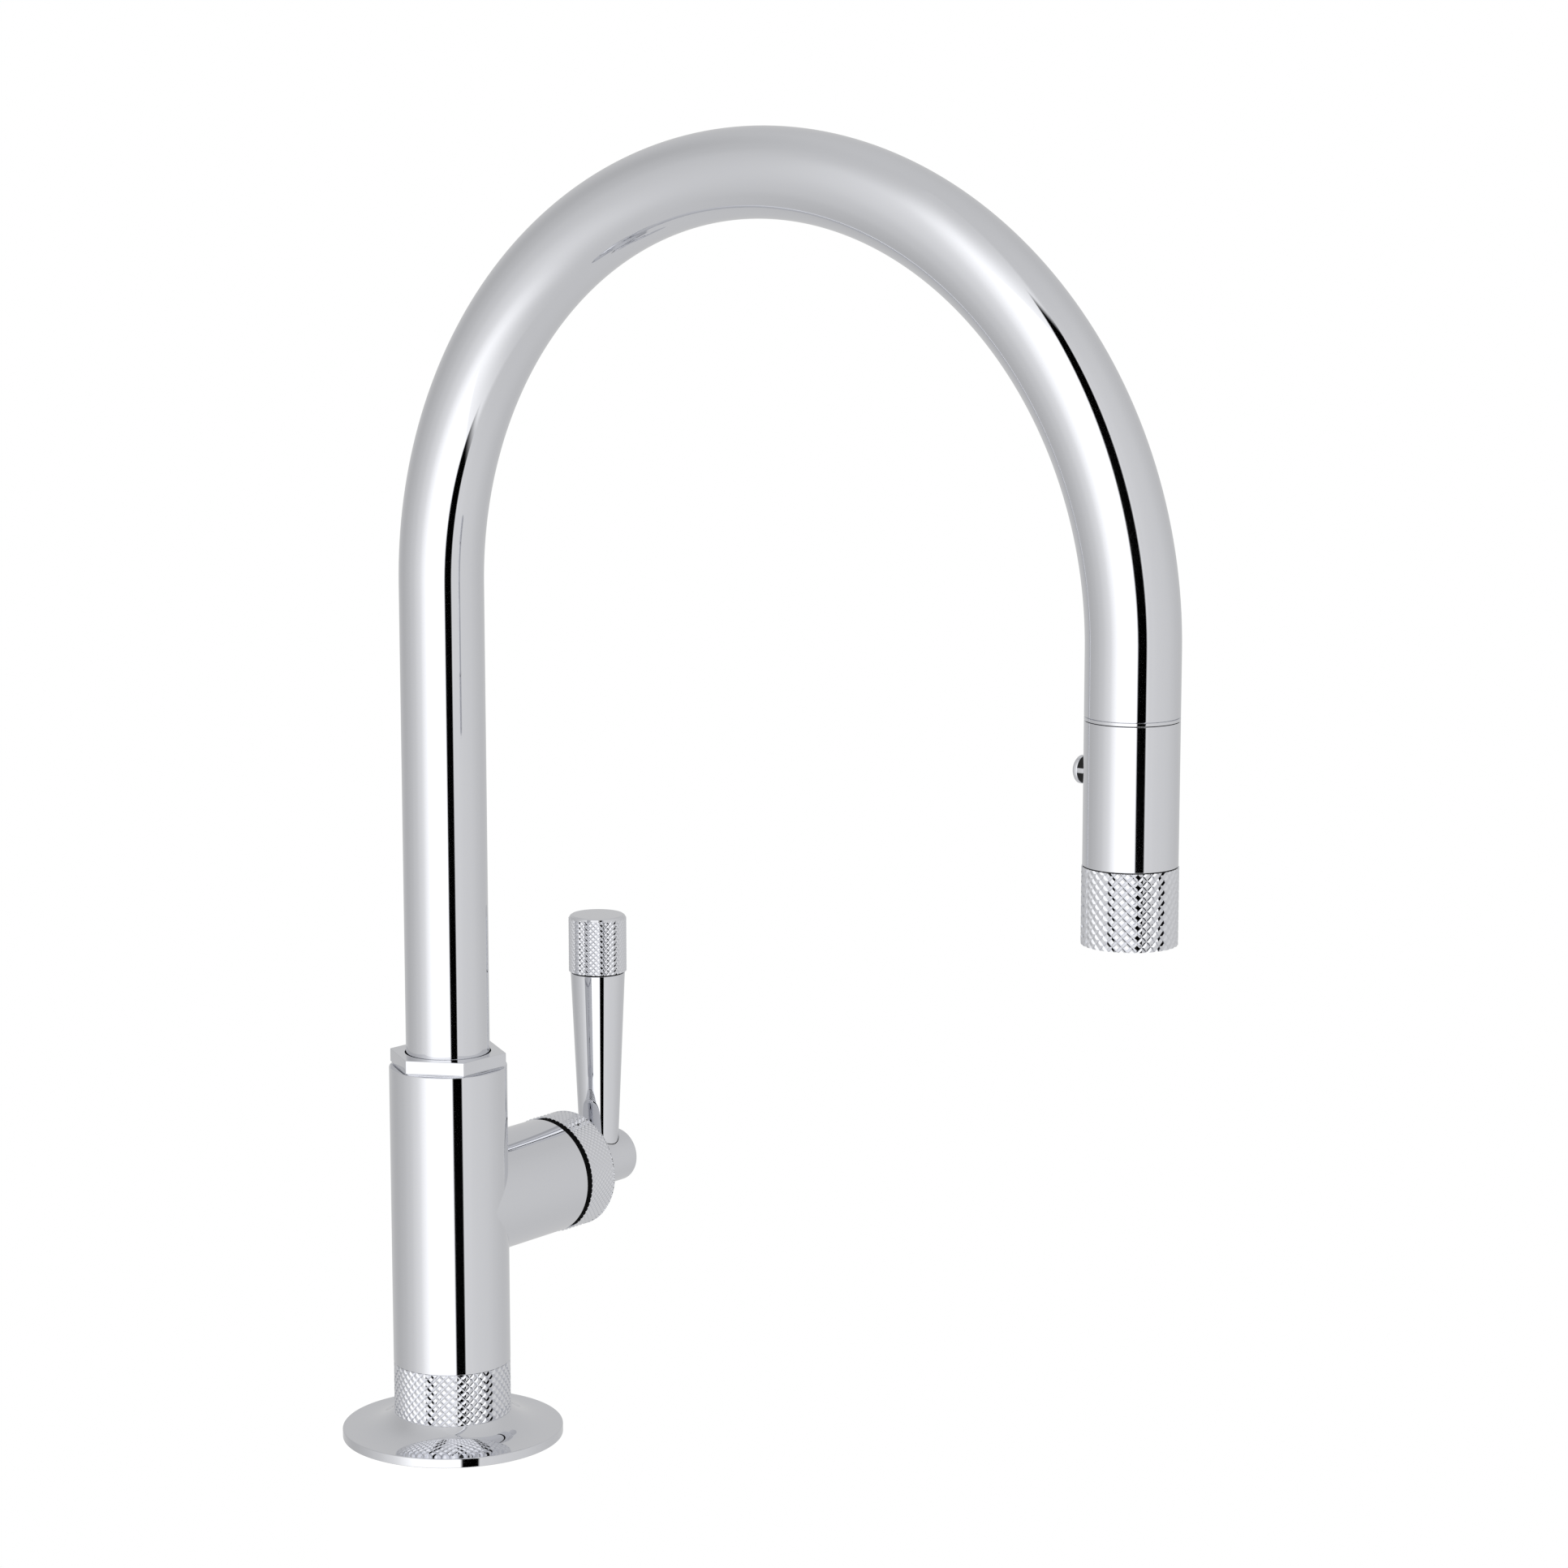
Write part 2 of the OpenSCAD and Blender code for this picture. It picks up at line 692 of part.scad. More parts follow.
// Turns in the housing with the lever; its two cheeks hold the pivot pin
module stem_guide() {
  cheek_end = pivot_y + 3;
  slot_w = 2 * stem_r + 0.6;
  color(acetal) on_valve(guide_y) difference() {
    union() {
      cylinder(r = chamber_r - 0.15, h = guide_h);
      cylinder(r = nose_r, h = cheek_end - guide_y);
    }
    translate([-slot_w / 2, -7.8, -1]) cube([slot_w, 12.4, guide_h + 2]);
    translate([-slot_w / 2, -nose_r - 1, guide_h]) cube([slot_w, 2 * nose_r + 2, cheek_end]);
    translate([-nose_r - 1, 0, pivot_y - guide_y]) rotate([0, 90, 0])
      cylinder(r = pin_r + 0.01, h = 2 * nose_r + 2);
  }
}

module pivot_pin() {
  color(steel) on_valve(pivot_y) translate([-nose_r + 0.5, 0, 0]) rotate([0, 90, 0])
    cylinder(r = pin_r, h = 2 * nose_r - 1);
}

// Clamps the cartridge in the barrel and carries the cap on its outer sleeve
module cartridge_nut() {
  y0 = housing_step_y + slip;
  color(brass) on_valve(y0) difference() {
    cylinder(r = nut_thread_r, h = nut_sleeve_end - y0);
    translate([0, 0, -1]) cylinder(r = nut_bore_r, h = housing_end - y0 + 1);
    translate([0, 0, nut_front - y0]) cylinder(r = nut_bore_r, h = nut_sleeve_end);
    cylinder(r = nose_r + 2.4, h = nut_sleeve_end);
  }
}

module groove_ring() {
  color(black) on_valve(barrel_len) ring(barrel_r - groove_depth, nut_thread_r + slip, groove_w);
}

module knurled_cap() {
  color(chrome) on_valve(cap_y) difference() {
    soft_ring(cap_r, 5, cap_len, 0.6);
    translate([0, 0, -1]) cylinder(r = bore_r, h = cap_len - cap_wall + 1);
    translate([0, 0, pivot_y - cap_y]) sphere(r = ball_r + seat_gap);
  }
}

// --- lever -------------------------------------------------------------------------------

module lever_stem() {
  color(steel) on_valve(pivot_y) difference() {
    union() {
      translate([0, 0, -stem_arm]) sphere(r = stem_ball_r);
      translate([0, 0, -stem_arm]) cylinder(r = neck_stem_r, h = 5);
      translate([0, 0, -stem_arm + 4.6]) cylinder(r = stem_r, h = stem_end - pivot_y + stem_arm - 4.6);
    }
    translate([-stem_r - 1, 0, 0]) rotate([0, 90, 0]) cylinder(r = pin_r + run_gap, h = 2 * stem_r + 2);
  }
}

// Hub and ball in one: the ball closes the cap's mouth while the lever tilts
module lever_hub() {
  shell_t = 2.5;
  color(chrome) on_valve(pivot_y) difference() {
    union() {
      intersection() {
        sphere(r = ball_r);
        translate([0, 0, -1]) cylinder(r = ball_r + 1, h = ball_r + 2);
      }
      translate([0, 0, 1]) soft_bar(hub_r, hub_end - pivot_y - 1, 1.4);
    }
    sphere(r = ball_r - shell_t);
    cylinder(r = stem_r + run_gap, h = stem_end - pivot_y + slip);
    translate([0, 0, screw_y - pivot_y]) rotate([-90, 0, 0]) cylinder(r = 2, h = hub_r + 1);
    translate([0, 0, lever_y - pivot_y]) rotate([90, 0, 0]) cylinder(r = stud_r + run_gap, h = hub_r + 1);
  }
}

// Grub screw that clamps the hub on the stem, reached from below
module set_screw() {
  color(steel) translate([0, screw_y, valve_z - hub_r + 1]) difference() {
    cylinder(r = 2 - 0.01, h = hub_r - 1 - stem_r - 0.02);
    translate([0, 0, -1]) cylinder(r = 1.1, h = 3, $fn = 6);
  }
}

// Tapered rod that is saddled on the hub and screwed into it by a stud
module lever_rod() {
  taper = (lever_top_d - lever_foot_d) / 2 / (knob_z - valve_z - hub_r);
  color(chrome) translate([0, lever_y, valve_z]) {
    difference() {
      cylinder(r1 = lever_foot_d / 2 - taper * hub_r, r2 = lever_top_d / 2, h = knob_z - valve_z);
      rotate([90, 0, 0]) cylinder(r = hub_r + 0.01, h = 60, center = true);
    }
    translate([0, 0, stem_r + 0.6]) cylinder(r = stud_r, h = hub_r - stem_r + 4);
    translate([0, 0, knob_z - valve_z - 1]) cylinder(r = 6, h = 11);
  }
}

module lever_knob() {
  color(chrome) translate([0, lever_y, knob_z + seam]) difference() {
    soft_bar(knob_r, knob_h, 0.8);
    translate([0, 0, -1]) cylinder(r = 6 + run_gap, h = 12);
  }
}

// --- drawing -----------------------------------------------------------------------------

base_gasket();
base_flange();
knurled_base_ring();
threaded_shank();
deck_gasket();
deck_washer();
mounting_nut();
clamp_screws();
faucet_body();
side_barrel();
lower_bush();
upper_bush();
collar_nut();
spout_tube();
spout_collar();
spout_o_ring();
outlet_ring();
dock_sleeve();
spray_hose();
hose_coupling();
hose_nipple();
spray_shell();
spray_core();
neck_o_ring();
check_valve();
aerator_housing();
aerator_screen();
nozzle_mat();
spray_face();
knurled_nozzle_ring();
spray_button();
diverter_spool();
button_spring();
cartridge_seal();
cartridge_housing();
fixed_disc();
moving_disc();
disc_driver();
stem_guide();
pivot_pin();
cartridge_nut();
groove_ring();
knurled_cap();
lever_stem();
lever_hub();
set_screw();
lever_rod();
lever_knob();
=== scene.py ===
import math

import bmesh
import bpy
from mathutils import Matrix, Vector


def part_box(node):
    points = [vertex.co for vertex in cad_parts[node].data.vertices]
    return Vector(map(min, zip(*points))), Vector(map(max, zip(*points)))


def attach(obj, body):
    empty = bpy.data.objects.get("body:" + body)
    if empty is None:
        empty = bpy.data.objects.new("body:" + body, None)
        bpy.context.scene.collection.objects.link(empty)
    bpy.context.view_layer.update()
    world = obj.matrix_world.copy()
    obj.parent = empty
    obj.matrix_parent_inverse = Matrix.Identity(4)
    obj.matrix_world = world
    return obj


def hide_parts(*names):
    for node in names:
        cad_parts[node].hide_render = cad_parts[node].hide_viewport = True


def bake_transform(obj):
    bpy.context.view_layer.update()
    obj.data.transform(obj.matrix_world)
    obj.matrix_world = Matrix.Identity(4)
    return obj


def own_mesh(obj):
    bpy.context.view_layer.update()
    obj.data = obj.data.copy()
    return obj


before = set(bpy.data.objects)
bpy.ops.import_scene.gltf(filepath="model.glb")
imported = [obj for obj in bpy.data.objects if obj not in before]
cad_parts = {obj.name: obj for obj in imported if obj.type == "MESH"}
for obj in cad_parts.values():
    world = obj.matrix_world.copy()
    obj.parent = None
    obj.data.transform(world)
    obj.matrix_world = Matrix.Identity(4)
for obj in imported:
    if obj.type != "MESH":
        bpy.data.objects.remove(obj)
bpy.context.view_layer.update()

# ---- Camera ------------------------------------------------------------------------------
# A long lens at the arch's height, before the faucet and on the side away from the lever,
# looking a little down.
eye = Vector((0.9049, -0.9812, 0.4465))
aim = Vector((0.0889, 0.0691, 0.2237))

camera = bpy.data.objects.new("camera", bpy.data.cameras.new("camera"))
bpy.context.collection.objects.link(camera)
camera.location = eye
camera.rotation_euler = (aim - eye).to_track_quat("-Z", "Y").to_euler()
camera.data.lens = 93.44
camera.data.sensor_width = 36
camera.data.clip_start = 0.05
camera.data.clip_end = 50
bpy.context.scene.camera = camera
bpy.context.scene.view_settings.view_transform = "Standard"

# ---- Studio ------------------------------------------------------------------------------
# A grey room that glows round a large soft box behind the camera, with a black flag beside
# the box. Only polished metal sees them. A white plinth carries the faucet.
def linear(colour):
    """An sRGB hex colour as the linear colour that a shader takes."""
    parts = [int(colour[i:i + 2], 16) / 255 for i in (1, 3, 5)]
    return [c / 12.92 if c <= 0.04045 else ((c + 0.055) / 1.055) ** 2.4 for c in parts] + [1.0]


def add(tree, kind, values=None, **settings):
    """Adds one node. A value is a number or colour for a socket, or an output linked to it."""
    node = tree.nodes.new(kind)
    for key, value in settings.items():
        setattr(node, key, value)
    for socket, value in (values or {}).items():
        if isinstance(value, bpy.types.NodeSocket):
            tree.links.new(value, node.inputs[socket])
        else:
            node.inputs[socket].default_value = value
    return node


def material(name):
    """An empty material with its output node, and the tree that holds it."""
    made = bpy.data.materials.new(name)
    made.use_nodes = True
    made.node_tree.nodes.clear()
    add(made.node_tree, "ShaderNodeOutputMaterial")
    return made, made.node_tree


def surface(tree, shader):
    """Joins a shader to the tree's output."""
    output = next(n for n in tree.nodes if n.type.startswith("OUTPUT"))
    tree.links.new(shader.outputs[0], output.inputs["Surface"])


def sharp(edge):
    """Whether the two faces of an edge meet at more than about 34 degrees."""
    return len(edge.link_faces) == 2 and edge.calc_face_angle() > 0.6


def build(name, bm, look=None, smooth=True):
    """Makes the object from its bmesh, smooth between its sharp edges unless it is cut in flats."""
    mesh = bpy.data.meshes.new(name)
    for face in bm.faces:
        face.smooth = smooth
    for edge in bm.edges:
        edge.smooth = len(edge.link_faces) == 2 and not sharp(edge)
    bm.to_mesh(mesh)
    bm.free()
    made = bpy.data.objects.new(name, mesh)
    bpy.context.collection.objects.link(made)
    if look:
        mesh.materials.append(look)
    return made


def at(x, y, z):
    """The transform that moves a thing by so much."""
    return Matrix.Translation((x, y, z))


def tilt(degrees, axis):
    """The transform that turns a thing about an axis through the origin."""
    return Matrix.Rotation(math.radians(degrees), 4, axis)


# the world is plain white to the eye and in metal, and lights all else at 0.8 of that
world = bpy.data.worlds.new("white_room")
bpy.context.scene.world = world
world.use_nodes = True
tree = world.node_tree
tree.nodes.clear()
add(tree, "ShaderNodeOutputWorld")
ray = add(tree, "ShaderNodeLightPath")
seen = add(tree, "ShaderNodeMath",
           {0: ray.outputs["Is Camera Ray"], 1: ray.outputs["Is Glossy Ray"]}, operation="ADD")
seen = add(tree, "ShaderNodeMath", {0: seen.outputs[0], 1: ray.outputs["Is Transmission Ray"]},
           operation="ADD", use_clamp=True)
level = add(tree, "ShaderNodeMapRange", {"Value": seen.outputs[0], "To Min": 0.8, "To Max": 1.0})
surface(tree, add(tree, "ShaderNodeBackground",
                  {"Color": linear("#FFFFFF"), "Strength": level.outputs[0]}))

# the bearing of the camera from the faucet, and how far above white the room and the box shine, to
# show white in the plate's grey
facing = math.atan2(eye.y - aim.y, eye.x - aim.x)
glow = 1.35


def unlit(name, bm, look):
    """A piece of the studio that only polished metal sees."""
    made = build(name, bm, look)
    made.visible_camera = made.visible_diffuse = made.visible_shadow = False
    made.visible_transmission = False


# the room's brightness by the angle round the faucet: 0 and 1 lie straight behind it, 0.5 is at
# the camera, and less than that is on the camera's left; overhead and underfoot it is one grey
bm = bmesh.new()
bmesh.ops.create_uvsphere(bm, u_segments=64, v_segments=32, radius=4.0)
look, tree = material("room_grey_paint")
place = add(tree, "ShaderNodeTexCoord")
turn = add(tree, "ShaderNodeMapping",
           {"Vector": place.outputs["Object"], "Rotation": (0, 0, -facing)})
around = add(tree, "ShaderNodeTexGradient", {"Vector": turn.outputs[0]}, gradient_type="RADIAL")
ramp = add(tree, "ShaderNodeValToRGB", {"Fac": around.outputs["Fac"]})
ramp.color_ramp.interpolation = "CARDINAL"
for where, colour in ((0.08, "#B2B2B2"), (0.15, "#AAAAAA"), (0.20, "#AEAEAE"), (0.25, "#B8B8B8"),
                      (0.30, "#C6C6C6"), (0.35, "#DCDCDC"), (0.385, "#F8F8F8"), (0.41, "#FFFFFF"),
                      (0.555, "#FFFFFF"), (0.585, "#D2D2D2"), (0.63, "#C9C9C9"), (0.75, "#C1C1C1"),
                      (0.85, "#B6B6B6")):
    ramp.color_ramp.elements.new(where).color = linear(colour)
ramp.color_ramp.elements[0].color = ramp.color_ramp.elements[-1].color = linear("#B5B5B5")
height = add(tree, "ShaderNodeSeparateXYZ", {"Vector": place.outputs["Object"]})
overhead = add(tree, "ShaderNodeMapRange",
               {"Value": height.outputs["Z"], "From Min": 2.6, "From Max": 4.2},
               interpolation_type="SMOOTHSTEP")
underfoot = add(tree, "ShaderNodeMapRange",
                {"Value": height.outputs["Z"], "From Min": -1.45, "From Max": -4.15},
                interpolation_type="SMOOTHSTEP")
poles = add(tree, "ShaderNodeMath", {0: overhead.outputs[0], 1: underfoot.outputs[0]},
            operation="MAXIMUM")
paint = add(tree, "ShaderNodeMix", {"Factor": poles.outputs[0], "A": ramp.outputs["Color"],
                                    "B": linear("#BBBBBB")}, data_type="RGBA")
surface(tree, add(tree, "ShaderNodeEmission",
                  {"Color": paint.outputs["Result"], "Strength": glow}))
unlit("room", bm, look)


def panel(left, right, low, high, distance):
    """An upright sheet across the camera's view, so far in front of the faucet."""
    bm = bmesh.new()
    bmesh.ops.create_grid(bm, x_segments=1, y_segments=1, size=0.5)
    place = Matrix.Rotation(facing, 4, "Z") @ at(distance, (left + right) / 2, (low + high) / 2)
    size = Matrix.Diagonal((high - low, right - left, 1, 1))
    bmesh.ops.transform(bm, matrix=place @ tilt(90, "Y") @ size, verts=bm.verts)
    return bm


look, tree = material("soft_box_cloth")
surface(tree, add(tree, "ShaderNodeEmission", {"Color": linear("#FFFFFF"), "Strength": glow}))
unlit("soft_box", panel(-1.1, 0.45, -1.0, 2.1, 1.7), look)

# the flag's black cloth, thinning out over its last few centimetres
look, tree = material("flag_black_cloth")
place = add(tree, "ShaderNodeTexCoord")
turn = add(tree, "ShaderNodeMapping",
           {"Vector": place.outputs["Object"], "Rotation": (0, 0, -facing)})
spot = add(tree, "ShaderNodeSeparateXYZ", {"Vector": turn.outputs[0]})
cover = None
for axis, middle, reach, fade in (("Y", 0.66, 0.30, 0.05), ("Z", 0.78, 2.0, 0.3)):
    off = add(tree, "ShaderNodeMath", {0: spot.outputs[axis], 1: middle}, operation="SUBTRACT")
    off = add(tree, "ShaderNodeMath", {0: off.outputs[0]}, operation="ABSOLUTE")
    part = add(tree, "ShaderNodeMapRange", {"Value": off.outputs[0], "From Min": reach + fade,
                                            "From Max": reach - fade},
               interpolation_type="SMOOTHSTEP")
    cover = add(tree, "ShaderNodeMath",
                {0: part.outputs[0], 1: cover.outputs[0] if cover else 1.0}, operation="MULTIPLY")
clear = add(tree, "ShaderNodeBsdfTransparent")
black = add(tree, "ShaderNodeEmission", {"Strength": 0.0})
surface(tree, add(tree, "ShaderNodeMixShader",
                  {0: cover.outputs[0], 1: clear.outputs[0], 2: black.outputs[0]}))
unlit("black_flag", panel(0.3, 1.02, -1.6, 3.2, 1.6), look)

# a round plinth of white solid surface stands in for the worktop: it takes in what is fixed below
# the deck, and leaves room beside it for the drawn-out head
plinth_r, plinth_h = 0.042, 0.086
bm = bmesh.new()
bmesh.ops.create_cone(bm, cap_ends=True, segments=128, radius1=plinth_r, radius2=plinth_r,
                      depth=plinth_h)
bmesh.ops.translate(bm, verts=bm.verts, vec=(0, 0, -plinth_h / 2))
look, tree = material("plinth_white_solid_surface")
ray = add(tree, "ShaderNodeLightPath")
plain = add(tree, "ShaderNodeBsdfPrincipled",
            {"Base Color": linear("#F4F4F2"), "Roughness": 0.55})
bright = add(tree, "ShaderNodeEmission", {"Color": linear("#FFFFFF"), "Strength": 1.12})
share = add(tree, "ShaderNodeMath", {0: ray.outputs["Is Camera Ray"], 1: 0.8},
            operation="MULTIPLY")
surface(tree, add(tree, "ShaderNodeMixShader",
                  {0: share.outputs[0], 1: plain.outputs[0], 2: bright.outputs[0]}))
plinth = build("plinth", bm, look)
plinth.visible_glossy = False

# one broad lamp overhead, for what isn't polished
lamp = bpy.data.objects.new("overhead_lamp", bpy.data.lights.new("overhead_lamp", "AREA"))
bpy.context.collection.objects.link(lamp)
lamp.data.shape = "DISK"
lamp.data.size = 1.6
lamp.data.energy = 14
lamp.location = (-0.5, -0.9, 1.9)
lamp.rotation_euler = (Vector((0.1, 0, 0.1)) - lamp.location).to_track_quat("-Z", "Y").to_euler()
lamp.visible_glossy = False

# ---- Flange ------------------------------------------------------------------------------
# A disc turned from brass bar: flat land, then a hollow sweep up to the knurled ring. It is
# polished and chrome plated, and stands on the deck on a hidden rubber gasket.
def even_shading(made):
    """Keeps the flats flat beside their rounded edges, and the sharp edges sharp."""
    even = made.modifiers.new("even_shading", "WEIGHTED_NORMAL")
    even.weight = 100
    even.keep_sharp = True


def chain(bm, outline, closed=False):
    """The (radius, height) points of a half outline, joined up in turn, ready to be spun."""
    verts = [bm.verts.new((r, 0, z)) for r, z in outline]
    ends = verts[1:] + verts[:1] if closed else verts[1:]
    return verts + [bm.edges.new(pair) for pair in zip(verts, ends)]


def spin_round(bm, geom, steps):
    """Spins an outline once round Z and merges what meets."""
    bmesh.ops.spin(bm, geom=geom, cent=(0, 0, 0), axis=(0, 0, 1), angle=math.tau, steps=steps,
                   use_merge=True)
    bmesh.ops.remove_doubles(bm, verts=bm.verts, dist=1e-7)


def ease_edges(bm, size, clamp=False):
    """Rounds the sharp edges over, as polishing does."""
    bmesh.ops.bevel(bm, geom=[e for e in bm.edges if sharp(e)], offset=size, segments=3,
                    affect="EDGES", profile=0.5, material=-1, clamp_overlap=clamp)


def turned(name, outline, look, closed=True, steps=160, ease=0.0, lie=None):
    """A lathe-turned piece from its half outline, spun round Z and then laid in its place."""
    bm = bmesh.new()
    spin_round(bm, chain(bm, outline, closed), steps)
    bmesh.ops.recalc_face_normals(bm, faces=bm.faces)
    if ease:
        ease_edges(bm, ease, clamp=True)
    if lie:
        bmesh.ops.transform(bm, matrix=lie, verts=bm.verts)
    made = build(name, bm, look)
    even_shading(made)
    return made


def chrome(name, marks):
    """Nickel-chrome plate on polished brass: a clear mirror with faint wiping marks, drawn out
    along any axis where marks is small."""
    polish = 0.035
    look, tree = material(name)
    place = add(tree, "ShaderNodeTexCoord")
    stretch = add(tree, "ShaderNodeMapping", {"Vector": place.outputs["Object"], "Scale": marks})
    wiping = add(tree, "ShaderNodeTexNoise",
                 {"Vector": stretch.outputs[0], "Scale": 60, "Detail": 5})
    rough = add(tree, "ShaderNodeMapRange",
                {"Value": wiping.outputs[0], "From Min": 0.3, "From Max": 0.7,
                 "To Min": polish * 0.6, "To Max": polish * 1.5})
    surface(tree, add(tree, "ShaderNodeBsdfPrincipled",
                      {"Base Color": linear("#E1E2E6"), "Metallic": 1.0,
                       "Roughness": rough.outputs[0]}))
    return look


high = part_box("base_flange")[1]
flange_r, flange_h, rim_h, rim_ease = high.x, high.z, 0.0031, 0.00025
ring_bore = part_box("knurled_base_ring")[1].x - 0.0025
edge_r, foot_r = flange_r - rim_ease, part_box("faucet_body")[1].x + 0.0003
sweep = [(edge_r - (edge_r - foot_r) * x, rim_h + (flange_h - rim_h) * x ** 3)
         for x in (i / 48 for i in range(49))]
rim = [(ring_bore, 0.0), (flange_r, 0.0), (flange_r, rim_h - rim_ease)]
flange = turned("base_flange_plate", rim + sweep + [(ring_bore, flange_h)],
                chrome("chrome_plate_flange", (1, 1, 6)), ease=rim_ease)
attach(flange, "base")
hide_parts("base_flange")

# ---- Knurled ring on the flange ----------------------------------------------------------
# A collar with a coarse diamond knurl, rolled in as crossing grooves that leave a small flat on
# each diamond, then chrome plated. It hides the joint of flange and body.
def parted(geom):
    """The vertices, and the edges, of what an operator made."""
    return ([g for g in geom if isinstance(g, bmesh.types.BMVert)],
            [g for g in geom if isinstance(g, bmesh.types.BMEdge)])


def grow_rim(bm, z, outline):
    """Carries the open rim at a height on along an outline, and returns its last edges."""
    rim = [e for e in bm.edges
           if len(e.link_faces) == 1 and all(abs(v.co.z - z) < 1e-6 for v in e.verts)]
    for r, height in outline:
        verts, rim = parted(bmesh.ops.extrude_edge_only(bm, edges=rim)["geom"])
        for vert in verts:
            vert.co.xy *= r / vert.co.xy.length
            vert.co.z = height
    return rim


def knurled(name, radius, low, high, look, bore, around, cap=None, lie=None):
    """A band with so many diamonds around: a spun wall whose groove points are let in, split
    along the grooves. The cap carries its upper rim on to the middle or a bore."""
    groove_wall = 40  # degrees
    step = math.pi * radius / around / 2
    rows = max(4, round((high - low) / step))
    depth = step * math.sqrt(0.5) * math.tan(math.radians(groove_wall))
    bm = bmesh.new()
    wall = [(radius, low + (high - low) * i / rows) for i in range(rows + 1)]
    spin_round(bm, chain(bm, wall), 4 * around)
    grooves, even = set(), set()
    for vert in bm.verts:
        column = round(math.atan2(vert.co.y, vert.co.x) / math.tau * 4 * around)
        row = round((vert.co.z - low) / (high - low) * rows)
        if (column - row) % 4 == 0 or (column + row) % 4 == 0:
            grooves.add(vert)
        if (column + row) % 2 == 0:
            even.add(vert)
    for vert in grooves:
        vert.co.xy *= (radius - depth) / radius
    for face in list(bm.faces):
        pair = [v for v in face.verts if v in even]
        if not grooves.issuperset(pair):
            pair = [v for v in face.verts if v not in even]
        if len(pair) == 2 and len(face.verts) == 4:
            bmesh.utils.face_split(face, pair[0], pair[1])
    grow_rim(bm, low, [(bore, low)])
    grow_rim(bm, high, cap or [(bore, high)])
    bmesh.ops.recalc_face_normals(bm, faces=bm.faces)
    if lie:
        bmesh.ops.transform(bm, matrix=lie, verts=bm.verts)
    return build(name, bm, look, smooth=False)


low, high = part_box("knurled_base_ring")
base_ring = knurled("base_ring_knurl", high.x, low.z, high.z,
                    chrome("chrome_plate_base_ring", (1, 1, 1)), ring_bore, around=42)
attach(base_ring, "base")
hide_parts("knurled_base_ring")

# ---- Body and side barrel ----------------------------------------------------------------
# The upright is turned from brass bar, bored above for the spout and below for the shank, and its
# core is tapped for the two supplies and the return. The barrel that takes the valve is brazed on
# at right angles. The two are polished through the joint and plated together; the bores stay brass.
def machined(name, along, colour="#D9BE84", dull="#8A7448", rough=0.28):
    """Metal as the lathe cut it: the rings of its feed glint in bands, and handling dulls it."""
    feed = 0.0008  # twice the real spacing, so that the rings show
    look, tree = material(name)
    place = add(tree, "ShaderNodeTexCoord")
    rings = add(tree, "ShaderNodeTexWave",
                {"Vector": place.outputs["Object"], "Scale": math.pi / (10 * feed),
                 "Distortion": 0.4, "Detail": 1}, bands_direction=along)
    handling = add(tree, "ShaderNodeTexNoise",
                   {"Vector": place.outputs["Object"], "Scale": 110, "Detail": 5})
    worn = add(tree, "ShaderNodeMapRange",
               {"Value": handling.outputs[0], "From Min": 0.45, "From Max": 0.75,
                "To Min": 0.0, "To Max": 0.6})
    shade = add(tree, "ShaderNodeMix",
                {"Factor": worn.outputs[0], "A": linear(colour), "B": linear(dull)},
                data_type="RGBA")
    haze = add(tree, "ShaderNodeMapRange",
               {"Value": handling.outputs[0], "To Min": rough * 0.7, "To Max": rough * 1.4})
    bump = add(tree, "ShaderNodeBump",
               {"Strength": 0.3, "Distance": 0.00004, "Height": rings.outputs["Fac"]})
    surface(tree, add(tree, "ShaderNodeBsdfPrincipled",
                      {"Base Color": shade.outputs["Result"], "Metallic": 1.0,
                       "Roughness": haze.outputs[0], "Normal": bump.outputs[0]}))
    return look


def drilled(piece, holes):
    """Cuts holes in a solid piece: (place, radius, depth), each along its place's own Z."""
    bm = bmesh.new()
    for place, radius, depth in holes:
        bmesh.ops.create_cone(bm, cap_ends=True, segments=32, radius1=radius, radius2=radius,
                              depth=depth, matrix=place @ at(0, 0, depth / 2))
    drill = build("drill", bm)
    piece.modifiers.clear()
    cut = piece.modifiers.new("holes", "BOOLEAN")
    cut.object, cut.operation, cut.solver = drill, "DIFFERENCE", "EXACT"
    bpy.context.view_layer.update()
    solid = piece.evaluated_get(bpy.context.evaluated_depsgraph_get())
    finished = bpy.data.meshes.new_from_object(solid)
    piece.modifiers.clear()
    piece.data = finished
    bpy.data.objects.remove(drill)
    even_shading(piece)


low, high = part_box("faucet_body")
body_r, body_top = high.x, high.z
shank_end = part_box("threaded_shank")[1]
shank_r, core_z = shank_end.x, shank_end.z + 0.0001
bush_low, bush_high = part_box("lower_bush")
socket_r, socket_floor = bush_high.x + 0.00005, bush_low.z
hose_way = 0.0065
body = turned("body_upright", [(shank_r, low.z), (body_r, low.z), (body_r, body_top),
                               (socket_r, body_top), (socket_r, socket_floor),
                               (hose_way, socket_floor), (hose_way, core_z), (shank_r, core_z)],
              chrome("chrome_plate_body", (1, 1, 0.15)), steps=192, ease=0.0003)

# the two supplies and the return are drilled up into the core from the room for the shank
port_circle, port_r, port_depth, port_start = 0.0112, 0.0035, 0.013, core_z - 0.001
drilled(body, [(at(port_circle * math.cos(a), port_circle * math.sin(a), port_start), port_r,
                port_depth) for a in (math.radians(d) for d in (45, 90, 135))])

# all bores stay brass, up to just below the rim
body.data.materials.append(machined("turned_brass_bores", "Z"))
for face in body.data.polygons:
    from_axis = math.hypot(face.center.x, face.center.y)
    if from_axis < shank_r + 0.0001 and face.center.z < body_top - 0.0005:
        face.material_index = 1
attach(body, "base")
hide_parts("faucet_body")

